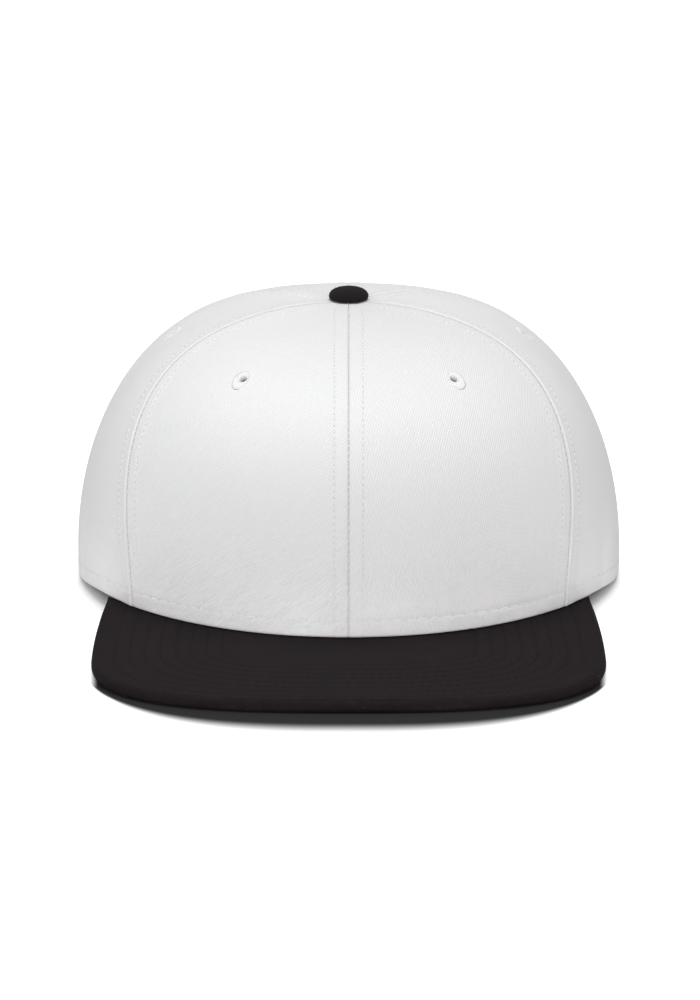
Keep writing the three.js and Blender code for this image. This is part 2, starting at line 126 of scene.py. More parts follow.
def running_length(points: Array) -> Array:
    """Distance along a line of points, from its start.

    Args:
        points: The line's points, along the first axis.

    Returns:
        One distance for each point.
    """
    steps = np.linalg.norm(np.diff(points, axis=0), axis=-1)
    return np.concatenate([np.zeros((1, *steps.shape[1:])), np.cumsum(steps, axis=0)])


def along(line: Array, lengths: Array, wanted: Array) -> Array:
    """Values of a line at wanted lengths.

    Args:
        line: Values (points or directions) along the first axis.
        lengths: The running length at each of them.
        wanted: The lengths to read at.

    Returns:
        One row of values for each wanted length.
    """
    return np.stack([np.interp(wanted, lengths, line[:, axis]) for axis in range(line.shape[1])], axis=1)


def evenly(line: Array, count: int) -> Array:
    """The same line through evenly spaced points."""
    lengths = running_length(line)
    return along(line, lengths, np.linspace(0.0, lengths[-1], count))


def apex_axis() -> Vector:
    """Foot of the upright line through the apex, in metres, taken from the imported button."""
    low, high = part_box("button")
    return Vector(((low.x + high.x) / 2, (low.y + high.y) / 2, 0.0))


AXIS = apex_axis()


# Meshes


@dataclass
class Shape:
    """A closed form in millimetres, with cloth coordinates and a crease value at each point, which is painted
    shade from 0 to 1.
    """

    points: Array
    faces: list
    cloth: Array
    crease: Array

    @staticmethod
    def joined(shapes: Sequence["Shape"]) -> "Shape":
        """Makes one shape that holds several.

        Args:
            shapes: The shapes, in order.

        Returns:
            The one shape.
        """
        faces: list = []
        start = 0
        for shape in shapes:
            faces.extend([tuple(corner + start for corner in face) for face in shape.faces])
            start += len(shape.points)
        return Shape(
            np.concatenate([shape.points for shape in shapes]),
            faces,
            np.concatenate([shape.cloth for shape in shapes]),
            np.concatenate([shape.crease for shape in shapes]),
        )

    def mirrored(self) -> "Shape":
        """The same form on the other side of the middle plane, faces still pointing out."""
        turned = [tuple(reversed(face)) for face in self.faces]
        return Shape(self.points * (-1.0, 1.0, 1.0), turned, self.cloth * (-1.0, 1.0), self.crease)

    def piece(self, name: str, material: bpy.types.Material) -> bpy.types.Object:
        """Makes the Blender object of this shape.

        Args:
            name: The piece's name.
            material: Its finish.

        Returns:
            The new object, smooth shaded, with its cloth map and its crease values of painted shade.
        """
        mesh = bpy.data.meshes.new(name)
        places = self.points * MM + np.array(AXIS)
        mesh.from_pydata(places.tolist(), [], self.faces)
        outward = bmesh.new()
        outward.from_mesh(mesh)
        bmesh.ops.recalc_face_normals(outward, faces=outward.faces)
        outward.to_mesh(mesh)
        outward.free()
        corners = np.zeros(len(mesh.loops), np.int32)
        mesh.loops.foreach_get("vertex_index", corners)
        cloth_map = mesh.uv_layers.new(name=CLOTH_MAP)
        cloth_map.data.foreach_set("uv", self.cloth[corners].astype(np.float32).ravel())
        values = mesh.attributes.new(CREASE_SHADE, "FLOAT", "POINT")
        values.data.foreach_set("value", self.crease.astype(np.float32))
        mesh.polygons.foreach_set("use_smooth", np.ones(len(mesh.polygons), bool))
        mesh.set_sharp_from_angle(angle=SHARP_ANGLE)
        mesh.materials.append(material)
        piece = bpy.data.objects.new(name, mesh)
        bpy.context.scene.collection.objects.link(piece)
        return piece


def side_faces(rows: int, columns: int) -> list:
    """Faces between the rows of a band whose last row meets its first.

    Args:
        rows: How many rows go round the section.
        columns: How many points each row has.

    Returns:
        The faces, as tuples of point numbers in row by row order.
    """
    faces = []
    for row in range(rows):
        low, high = row * columns, (row + 1) % rows * columns
        for column in range(columns - 1):
            faces.append((low + column, low + column + 1, high + column + 1, high + column))
    return faces


def loop_faces(rows: int, columns: int) -> list:
    """Faces of a flat band whose section is a folded loop, with its two ends closed from fold to fold.

    Args:
        rows: How many rows go round the section; the section's two halves mirror each other.
        columns: How many points each row has.

    Returns:
        The faces.
    """
    faces = side_faces(rows, columns)
    for column in (0, columns - 1):
        low, high = 0, rows - 1
        while high - low > 1:
            corners = (low, low + 1, high - 1, high) if high - low > 2 else (low, low + 1, high)
            faces.append(tuple(row * columns + column for row in corners))
            low, high = low + 1, high - 1
    return faces


def ring_faces(rows: int, columns: int) -> list:
    """Faces of a band with one face over each of its two ends.

    Args:
        rows: How many rows go round the section.
        columns: How many points each row has.

    Returns:
        The faces.
    """
    faces = side_faces(rows, columns)
    for column in (0, columns - 1):
        faces.append(tuple(row * columns + column for row in range(rows)))
    return faces


def tube_faces(stations: int, sides: int) -> list:
    """Faces of a round tube with its two ends closed.

    Args:
        stations: How many rings of points there are along it.
        sides: How many points each ring has.

    Returns:
        The faces.
    """
    faces = []
    for station in range(stations - 1):
        low, high = station * sides, (station + 1) * sides
        for side in range(sides):
            following = (side + 1) % sides
            faces.append((low + side, low + following, high + following, high + side))
    faces.append(tuple(range(sides - 1, -1, -1)))
    faces.append(tuple(range((stations - 1) * sides, stations * sides)))
    return faces


def folded_band(rows: Array, cloth: Array, crease: Array) -> Shape:
    """A closed folded band from a grid of points, rows round the section and columns along it."""
    count, columns = rows.shape[:2]
    return Shape(rows.reshape(-1, 3), loop_faces(count, columns), cloth.reshape(-1, 2), crease.reshape(-1))


def plain_band(rows: Array, across: Array, lengthwise: Array) -> Shape:
    """A closed band without creases, from a grid of points.

    Args:
        rows: The points, rows round the section and columns along it.
        across: The first cloth coordinate, of a shape that spreads over the grid.
        lengthwise: The second one.

    Returns:
        The band.
    """
    grid = rows.shape[:2]
    cloth = np.stack([np.broadcast_to(across, grid), np.broadcast_to(lengthwise, grid)], axis=-1)
    return Shape(rows.reshape(-1, 3), ring_faces(*grid), cloth.reshape(-1, 2), np.zeros(grid[0] * grid[1]))


def lathe_shape(profile: Array, sides: int, ripple: Array | None = None) -> Shape:
    """A form turned about Z from a profile that starts and ends on the axis or closes on itself.

    Args:
        profile: Rows of (radius, height).
        sides: How many steps go round.
        ripple: For each row of the profile, how much its radius waves round the form.

    Returns:
        The turned form, with flat cloth coordinates seen from above.
    """
    angles = np.linspace(0.0, 2.0 * math.pi, sides, endpoint=False)
    waves = 0.0 if ripple is None else ripple[:, None] * np.sin(angles * (sides // 4))[None, :]
    radii = profile[:, :1] + waves * np.minimum(profile[:, :1], 1.0)
    points = np.stack(
        [radii * np.cos(angles), radii * np.sin(angles), np.repeat(profile[:, 1:], sides, axis=1)], axis=-1
    )
    rows = len(profile)
    closed = profile[0, 0] > 0.0
    faces = []
    for row in range(rows if closed else rows - 1):
        for side in range(sides):
            following = (side + 1) % sides
            above = (row + 1) % rows
            faces.append(
                (row * sides + side, row * sides + following, above * sides + following, above * sides + side)
            )
    flat = points.reshape(-1, 3)
    shape = Shape(flat, faces, flat[:, :2].copy(), np.zeros(len(flat)))
    return shape if closed else welded(shape)


def welded(shape: Shape, limit: float = 1e-5) -> Shape:
    """The same shape with points that coincide made one, and faces that vanish left out.

    Args:
        shape: The shape.
        limit: Points nearer than this, in millimetres, are one.

    Returns:
        The welded shape.
    """
    keys = np.round(shape.points / limit).astype(np.int64)
    _, first, inverse = np.unique(keys, axis=0, return_index=True, return_inverse=True)
    inverse = inverse.reshape(-1)
    faces = []
    for face in shape.faces:
        corners: list = []
        for corner in face:
            new = int(inverse[corner])
            if new not in corners:
                corners.append(new)
        if len(corners) > 2:
            faces.append(tuple(corners))
    return Shape(shape.points[first], faces, shape.cloth[first], shape.crease[first])


def round_bar(radius: float, low: float, high: float, sides: int) -> Shape:
    """An upright round bar about Z between two heights."""
    return lathe_shape(np.array([(0.0, low), (radius, low), (radius, high), (0.0, high)]), sides)


def placed(shape: Shape, origin: Array, outward: Array) -> Shape:
    """A shape moved to a place, its Z turned outwards and its Y as upright as that allows.

    Args:
        shape: The shape, about its own origin.
        origin: Where that origin goes.
        outward: Where its Z points.

    Returns:
        The moved shape.
    """
    upright = unit(np.array([0.0, 0.0, 1.0]) - outward * outward[2])
    turn = np.stack([np.cross(upright, outward), upright, outward], axis=1)
    return Shape(shape.points @ turn.T + origin, shape.faces, shape.cloth, shape.crease)


def cut(piece: bpy.types.Object, tools: Iterable[Shape], material: bpy.types.Material) -> None:
    """Cuts shapes out of a piece, and leaves no modifier on it.

    Args:
        piece: The piece to cut.
        tools: The shapes that are taken away.
        material: The finish of the cut's walls.
    """
    for tool in tools:
        cutter = tool.piece("cutter", material)
        modifier = piece.modifiers.new("cut", "BOOLEAN")
        modifier.object = cutter
        modifier.operation = "DIFFERENCE"
        modifier.solver = "EXACT"
        bpy.context.view_layer.update()
        evaluated = piece.evaluated_get(bpy.context.evaluated_depsgraph_get())
        mesh = bpy.data.meshes.new_from_object(evaluated)
        mesh.set_sharp_from_angle(angle=SHARP_ANGLE)
        piece.modifiers.clear()
        piece.data = mesh
        mesh.name = piece.name
        bpy.data.objects.remove(cutter)


# Threads and stitches


@dataclass(frozen=True)
class Thread:
    """Sewing thread, and how one stitch of it lies."""

    diameter: float = 0.36
    lift: float = 0.07
    sink: float = 0.2
    hole_length: float = 0.42
    hole_depth: float = 0.1
    sides: int = 6
    stations: int = 6

    def stitches(self, starts: Array, ends: Array, ups: Array) -> Shape:
        """Short round threads between pairs of points.

        Args:
            starts: Where each stitch comes up through the cloth.
            ends: Where it goes down.
            ups: The cloth's outward direction there.

        Returns:
            All the stitches as one shape.
        """
        share = np.linspace(0.0, 1.0, self.stations)
        ahead = unit(ends - starts)
        across = unit(np.cross(ahead, ups))
        upright = unit(np.cross(across, ahead))
        rise = self.lift * 4.0 * share * (1.0 - share) - self.sink * np.abs(2.0 * share - 1.0) ** 3
        middles = starts[:, None] + (ends - starts)[:, None] * share[None, :, None]
        middles = middles + upright[:, None] * rise[None, :, None]
        radii = self.diameter / 2 * np.sqrt(np.clip(1.0 - 0.85 * np.abs(2.0 * share - 1.0) ** 5, 0.0, 1.0))
        angles = np.linspace(0.0, 2.0 * math.pi, self.sides, endpoint=False)
        ring = (
            across[:, None, None] * np.cos(angles)[None, None, :, None]
            + upright[:, None, None] * np.sin(angles)[None, None, :, None]
        )
        points = middles[:, :, None] + ring * radii[None, :, None, None]
        lengths = np.linalg.norm(ends - starts, axis=1)
        run = np.broadcast_to((lengths[:, None] * share)[:, :, None], points.shape[:3])
        turn = np.broadcast_to((angles / (2.0 * math.pi))[None, None, :], points.shape[:3])
        cloth = np.stack([run, turn], axis=-1)
        one = tube_faces(self.stations, self.sides)
        size = self.stations * self.sides
        firsts = range(0, size * len(starts), size)
        faces = [tuple(corner + first for corner in face) for first in firsts for face in one]
        flat = points.reshape(-1, 3)
        return Shape(flat, faces, cloth.reshape(-1, 2), np.zeros(len(flat)))

    def row(self, path: Array, ups: Array, pitch: float, gap: float) -> Shape:
        """A row of stitches along a line on the cloth.

        Args:
            path: The line's points.
            ups: The cloth's outward direction at each of them.
            pitch: Length from stitch to stitch.
            gap: Length between two stitches, where the thread is under the cloth.

        Returns:
            The row as one shape.
        """
        lengths = running_length(path)
        begin = self._pitches(lengths[-1], pitch)[:-1] + gap / 2
        end = begin + pitch - gap
        starts, ends = along(path, lengths, begin), along(path, lengths, end)
        return self.stitches(starts, ends, unit(along(ups, lengths, (begin + end) / 2)))

    def holes(self, path: Array, ups: Array, pitch: float) -> Shape:
        """Dark pieces painted as the shade in the needle holes between the stitches of a row.

        Args:
            path: The row's line.
            ups: The cloth's outward direction at each of its points.
            pitch: Length from stitch to stitch.

        Returns:
            The painted shade of the holes as one shape.
        """
        lengths = running_length(path)
        places = self._pitches(lengths[-1], pitch)
        outward = unit(along(ups, lengths, places))
        middles = along(path, lengths, places) - outward * self.hole_depth
        ahead = unit(along(np.gradient(path, axis=0), lengths, places)) * self.hole_length / 2
        return self.stitches(middles - ahead, middles + ahead, outward)

    def _pitches(self, length: float, pitch: float) -> Array:
        """Places of the needle holes along a row."""
        count = int(length // pitch)
        return (length - count * pitch) / 2 + pitch * np.arange(count + 1)


# Finishes


class Graph:
    """Adds nodes to a tree and links them."""

    def __init__(self, tree: bpy.types.NodeTree) -> None:
        """Works on one node tree."""
        self.tree = tree

    def add(self, kind: str, **settings: object) -> bpy.types.Node:
        """A new node with these settings."""
        node = self.tree.nodes.new(kind)
        for name, value in settings.items():
            setattr(node, name, value)
        return node

    def feed(self, socket: bpy.types.NodeSocket, value: object) -> None:
        """Links a socket into an input, or sets the input's own value."""
        if isinstance(value, bpy.types.NodeSocket):
            self.tree.links.new(value, socket)
        else:
            socket.default_value = value

    def fill(self, node: bpy.types.Node, **values: object) -> None:
        """Feeds a node's inputs by their names, with underscores for spaces."""
        for name, value in values.items():
            self.feed(node.inputs[name.replace("_", " ")], value)

    def math(self, operation: str, *values: object) -> bpy.types.NodeSocket:
        """The result of a Math node."""
        node = self.add("ShaderNodeMath", operation=operation)
        for socket, value in zip(node.inputs, values):
            self.feed(socket, value)
        return node.outputs[0]

    def blend(self, share: object, first: object, second: object) -> bpy.types.NodeSocket:
        """A colour between two."""
        node = self.add("ShaderNodeMix", data_type="RGBA")
        self.feed(node.inputs[0], share)
        self.feed(node.inputs[6], first)
        self.feed(node.inputs[7], second)
        return node.outputs[2]

    def noise(self, place: object, scale: object, detail: float, roughness: float) -> bpy.types.NodeSocket:
        """The value of a Noise Texture."""
        node = self.add("ShaderNodeTexNoise")
        self.fill(node, Vector=place, Scale=scale, Detail=detail, Roughness=roughness)
        return node.outputs["Fac"]


class EffectGroup:
    """A shader node group with named sockets, made once and placed in many materials."""

    title = "effect"
    inputs: Sequence[tuple[str, str, object]] = ()
    outputs: Sequence[tuple[str, str]] = ()

    @classmethod
    def tree(cls) -> bpy.types.NodeTree:
        """The group's tree, made on the first call."""
        known = bpy.data.node_groups.get(cls.title)
        if known:
            return known
        tree = bpy.data.node_groups.new(cls.title, "ShaderNodeTree")
        for name, kind, value in cls.inputs:
            socket = tree.interface.new_socket(name=name, in_out="INPUT", socket_type=kind)
            if value is not None:
                socket.default_value = value
        for name, kind in cls.outputs:
            tree.interface.new_socket(name=name, in_out="OUTPUT", socket_type=kind)
        graph = Graph(tree)
        source, result = graph.add("NodeGroupInput"), graph.add("NodeGroupOutput")
        for name, value in cls.wire(graph, source.outputs).items():
            graph.feed(result.inputs[name], value)
        return tree

    @classmethod
    def wire(cls, graph: Graph, given: bpy.types.NodeOutputs) -> dict:
        """Builds the group's inside.

        Args:
            graph: The graph of the group's tree.
            given: The group's inputs, by name.

        Returns:
            What each output gets.
        """
        raise NotImplementedError

    @classmethod
    def place(cls, graph: Graph, **values: object) -> bpy.types.NodeOutputs:
        """Adds the group to a material's tree.

        Args:
            graph: The material's graph.
            **values: Links or numbers for its inputs, with underscores for spaces.

        Returns:
            The group node's outputs.
        """
        node = graph.add("ShaderNodeGroup", node_tree=cls.tree())
        graph.fill(node, **values)
        return node.outputs


class TwillWeave(EffectGroup):
    """Diagonal ribs of twill in cloth millimetres, broken into yarn floats."""

    title = "twill_weave"
    inputs = (
        ("Cloth", "NodeSocketVector", None),
        ("Pitch", "NodeSocketFloat", 0.85),
        ("Angle", "NodeSocketFloat", 0.8),
        ("Float Length", "NodeSocketFloat", 1.2),
        ("Unevenness", "NodeSocketFloat", 0.15),
    )
    outputs = (("Height", "NodeSocketFloat"), ("Rib", "NodeSocketFloat"))

    @classmethod
    def wire(cls, graph: Graph, given: bpy.types.NodeOutputs) -> dict:
        """Turns the cloth to its ribs, waves them a little and cuts them into floats."""
        turned = graph.add("ShaderNodeVectorRotate", rotation_type="Z_AXIS", invert=True)
        graph.fill(turned, Vector=given["Cloth"], Angle=given["Angle"])
        split = graph.add("ShaderNodeSeparateXYZ")
        graph.feed(split.inputs[0], turned.outputs[0])
        wander = graph.math("SUBTRACT", graph.noise(given["Cloth"], 0.35, 3.0, 0.6), 0.5)
        across = graph.math("MULTIPLY_ADD", wander, given["Unevenness"], split.outputs["Y"])
        turns = graph.math("DIVIDE", across, given["Pitch"])
        wave = graph.math("SINE", graph.math("MULTIPLY", turns, 2.0 * math.pi))
        rib = graph.math("MULTIPLY_ADD", wave, 0.5, 0.5)
        lean = graph.math("MULTIPLY", graph.math("FLOOR", turns), 0.37)
        steps = graph.math("ADD", graph.math("DIVIDE", split.outputs["X"], given["Float Length"]), lean)
        swell = graph.math("ABSOLUTE", graph.math("SINE", graph.math("MULTIPLY", steps, math.pi)))
        yarn = graph.math("MULTIPLY_ADD", graph.math("POWER", swell, 0.5), 0.35, 0.65)
        return {"Height": graph.math("MULTIPLY", rib, yarn), "Rib": rib}


class ClothTone(EffectGroup):
    """Slow changes of tone over cloth, and its fine loose fibres."""

    title = "cloth_tone"
    inputs = (
        ("Place", "NodeSocketVector", None),
        ("Patch Scale", "NodeSocketFloat", 22.0),
        ("Fibre Scale", "NodeSocketFloat", 1400.0),
    )
    outputs = (("Patches", "NodeSocketFloat"), ("Fibres", "NodeSocketFloat"))

    @classmethod
    def wire(cls, graph: Graph, given: bpy.types.NodeOutputs) -> dict:
        """Two noises at very different scales."""
        return {
            "Patches": graph.noise(given["Place"], given["Patch Scale"], 4.0, 0.55),
            "Fibres": graph.noise(given["Place"], given["Fibre Scale"], 2.0, 0.7),
        }


class ThreadTwist(EffectGroup):
    """The slanted plies of a twisted thread, along and round it."""

    title = "thread_twist"
    inputs = (
        ("Cloth", "NodeSocketVector", None),
        ("Ply Length", "NodeSocketFloat", 0.6),
    )
    outputs = (("Height", "NodeSocketFloat"),)

    @classmethod
    def wire(cls, graph: Graph, given: bpy.types.NodeOutputs) -> dict:
        """A wave that climbs round the thread as it runs on."""
        split = graph.add("ShaderNodeSeparateXYZ")
        graph.feed(split.inputs[0], given["Cloth"])
        plies = graph.math("DIVIDE", split.outputs["X"], given["Ply Length"])
        turns = graph.math("ADD", plies, split.outputs["Y"])
        wave = graph.math("SINE", graph.math("MULTIPLY", turns, 2.0 * math.pi))
        return {"Height": graph.math("MULTIPLY_ADD", wave, 0.5, 0.5)}


Colour = tuple[float, float, float]


def rgba(colour: Colour) -> tuple[float, float, float, float]:
    """A colour with full opacity."""
    return (*colour, 1.0)


def shader_graph(name: str) -> tuple[bpy.types.Material, Graph, bpy.types.Node]:
    """Makes a new material.

    Args:
        name: The material's name.

    Returns:
        The material, its graph and its Principled BSDF.
    """
    material = bpy.data.materials.new(name)
    material.use_nodes = True
    graph = Graph(material.node_tree)
    return material, graph, material.node_tree.nodes["Principled BSDF"]


def cloth_socket(graph: Graph) -> bpy.types.NodeSocket:
    """The cloth map's coordinates, in millimetres."""
    return graph.add("ShaderNodeUVMap", uv_map=CLOTH_MAP).outputs["UV"]


def place_socket(graph: Graph) -> bpy.types.NodeSocket:
    """The object's own coordinates, in metres."""
    return graph.add("ShaderNodeTexCoord").outputs["Object"]


def bump(graph: Graph, height: object, depth: float, strength: float) -> bpy.types.NodeSocket:
    """The normal of a Bump node.

    Args:
        graph: The material's graph.
        height: The height, from 0 to 1.
        depth: What its full height measures, in millimetres.
        strength: The node's strength.

    Returns:
        The normal.
    """
    node = graph.add("ShaderNodeBump")
    graph.fill(node, Strength=strength, Distance=depth * MM, Height=height)
    return node.outputs["Normal"]


@dataclass(frozen=True)
class TwillFinish:
    """Woven twill: ribs, slow tone, painted shade in creases and stitch grooves, and a soft sheen."""

    name: str
    colour: Colour
    shade: Colour
    # Colour of the painted shade in creases and grooves; the rib valleys of the weave take it too.
    crease_colour: Colour
    pitch: float = 0.85
    float_length: float = 1.3
    rib_depth: float = 0.09
    rib_tone: float = 0.12
    roughness: float = 0.9
    sheen: float = 0.12
    sheen_roughness: float = 0.45
    specular: float = 0.25

    @cache
    def material(self, label: str, angle: float) -> bpy.types.Material:
        """The finish with its ribs at an angle.

        Args:
            label: What the material is for.
            angle: Direction of the ribs from the cloth's width, in degrees.

        Returns:
            The material.
        """
        material, graph, shader = shader_graph(f"{self.name}_{label}")
        cloth = cloth_socket(graph)
        weave = TwillWeave.place(
            graph, Cloth=cloth, Pitch=self.pitch, Angle=math.radians(angle), Float_Length=self.float_length
        )
        tone = ClothTone.place(graph, Place=place_socket(graph))
        patches = graph.blend(tone["Patches"], rgba(self.shade), rgba(self.colour))
        valleys = graph.math("MULTIPLY", graph.math("SUBTRACT", 1.0, weave["Height"]), self.rib_tone)
        ribbed = graph.blend(valleys, patches, rgba(self.crease_colour))
        # Painted shade: the crease values darken the cloth towards the crease shade colour.
        crease = graph.add("ShaderNodeAttribute", attribute_name=CREASE_SHADE).outputs["Fac"]
        fibre = graph.math("MULTIPLY_ADD", tone["Fibres"], 0.35, weave["Height"])
        graph.fill(
            shader,
            Base_Color=graph.blend(crease, ribbed, rgba(self.crease_colour)),
            Normal=bump(graph, fibre, self.rib_depth, 0.8),
            Roughness=graph.math("MULTIPLY_ADD", tone["Patches"], 0.08, self.roughness - 0.04),
            Specular_IOR_Level=self.specular,
            Sheen_Weight=self.sheen,
            Sheen_Roughness=self.sheen_roughness,
        )
        return material


@dataclass(frozen=True)
class ThreadFinish:
    """Spun sewing thread."""

    name: str
    colour: Colour
    shade: Colour
    ply_length: float = 0.55
    ply_depth: float = 0.05
    roughness: float = 0.6
    sheen: float = 0.1
    specular: float = 0.4

    @cache
    def material(self) -> bpy.types.Material:
        """The thread's material, with its plies and a slow change of tone."""
        material, graph, shader = shader_graph(self.name)
        twist = ThreadTwist.place(graph, Cloth=cloth_socket(graph), Ply_Length=self.ply_length)
        tone = ClothTone.place(graph, Place=place_socket(graph), Patch_Scale=300.0)
        share = graph.math("MULTIPLY_ADD", twist["Height"], 0.5, graph.math("MULTIPLY", tone["Patches"], 0.5))
        graph.fill(
            shader,
            Base_Color=graph.blend(share, rgba(self.shade), rgba(self.colour)),
            Normal=bump(graph, twist["Height"], self.ply_depth, 0.7),
            Roughness=graph.math("MULTIPLY_ADD", tone["Patches"], 0.2, self.roughness - 0.1),
            Specular_IOR_Level=self.specular,
            Sheen_Weight=self.sheen,
        )
        return material


@dataclass(frozen=True)
class PlasticFinish:
    """Moulded plastic with a fine spark-eroded grain and light scuffs."""

    name: str
    colour: Colour
    scuff: Colour
    roughness: float = 0.42
    grain_depth: float = 0.02

    def material(self) -> bpy.types.Material:
        """The plastic's material."""
        material, graph, shader = shader_graph(self.name)
        tone = ClothTone.place(graph, Place=place_socket(graph), Patch_Scale=60.0, Fibre_Scale=2600.0)
        worn = graph.math("MULTIPLY", graph.math("POWER", tone["Patches"], 3.0), 0.35)
        graph.fill(
            shader,
            Base_Color=graph.blend(worn, rgba(self.colour), rgba(self.scuff)),
            Normal=bump(graph, tone["Fibres"], self.grain_depth, 0.5),
            Roughness=graph.math("MULTIPLY_ADD", tone["Patches"], 0.2, self.roughness - 0.1),
        )
        return material


WHITE_TWILL = TwillFinish(
    "white_twill",
    (0.825, 0.825, 0.83),
    (0.785, 0.785, 0.79),
    (0.45, 0.45, 0.455),
    rib_depth=0.12,
    rib_tone=0.24,
)
BLACK_TWILL = TwillFinish(
    "black_twill",
    (0.0168, 0.0124, 0.0133),
    (0.0140, 0.0104, 0.0111),
    (0.0050, 0.0040, 0.0042),
    rib_tone=0.35,
    sheen=0.006,
    specular=0.06,
)
BUTTON_TWILL = replace(
    BLACK_TWILL,
    name="button_twill",
    colour=(0.0158, 0.0122, 0.0129),
    shade=(0.0122, 0.0095, 0.0100),
    sheen=0.012,
    specular=0.12,
)
COTTON_TWILL = TwillFinish(
    "cotton_twill", (0.78, 0.78, 0.78), (0.72, 0.72, 0.72), (0.42, 0.42, 0.42), pitch=0.6, float_length=0.9
)
WOVEN_TAPE = TwillFinish(
    "woven_tape", (0.78, 0.78, 0.785), (0.73, 0.73, 0.735), (0.42, 0.42, 0.42), pitch=0.7, float_length=0.7
)
WHITE_THREAD = ThreadFinish("white_thread", (0.83, 0.83, 0.835), (0.74, 0.74, 0.745))
BLACK_THREAD = ThreadFinish(
    "black_thread",
    (0.0165, 0.0125, 0.0133),
    (0.0130, 0.0099, 0.0105),
    roughness=0.9,
    sheen=0.0,
    specular=0.08,
)
# Grey pieces that paint the shade inside needle holes and along the eyelets' edges.
WHITE_HOLE_SHADE = replace(
    BLACK_THREAD, name="white_needle_holes", colour=(0.55, 0.55, 0.55), shade=(0.36, 0.36, 0.36), specular=0.1
)
# Near-black pieces that paint the shade inside the peak's needle holes.
BLACK_HOLE_SHADE = replace(
    BLACK_THREAD,
    name="black_needle_holes",
    colour=(0.003, 0.0025, 0.0025),
    shade=(0.002, 0.002, 0.002),
    specular=0.05,
)
BLACK_PLASTIC = PlasticFinish("black_plastic", (0.018, 0.018, 0.019), (0.05, 0.05, 0.052))


def settle(piece: bpy.types.Object, slot: Slot, nodes: Sequence[str] = ()) -> bpy.types.Object:
    """Rides a finished piece on the cap's body and says what it stands for.

    Args:
        piece: The piece, in place.
        slot: The record's slot for its finish.
        nodes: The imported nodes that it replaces.

    Returns:
        The piece.
    """
    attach(piece, "root")
    if nodes:
        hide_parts(*nodes)
    faces = len(piece.data.polygons)
    LOG.info("%s: %d faces, slot %s, replaces %s", piece.name, faces, slot.value, list(nodes))
    return piece


# The crown's form


@dataclass(frozen=True)
class Section:
    """One upright section of the crown: how late it turns in, how square that turn is, and its lean."""

    lateness: float
    squareness: float
    lean: float


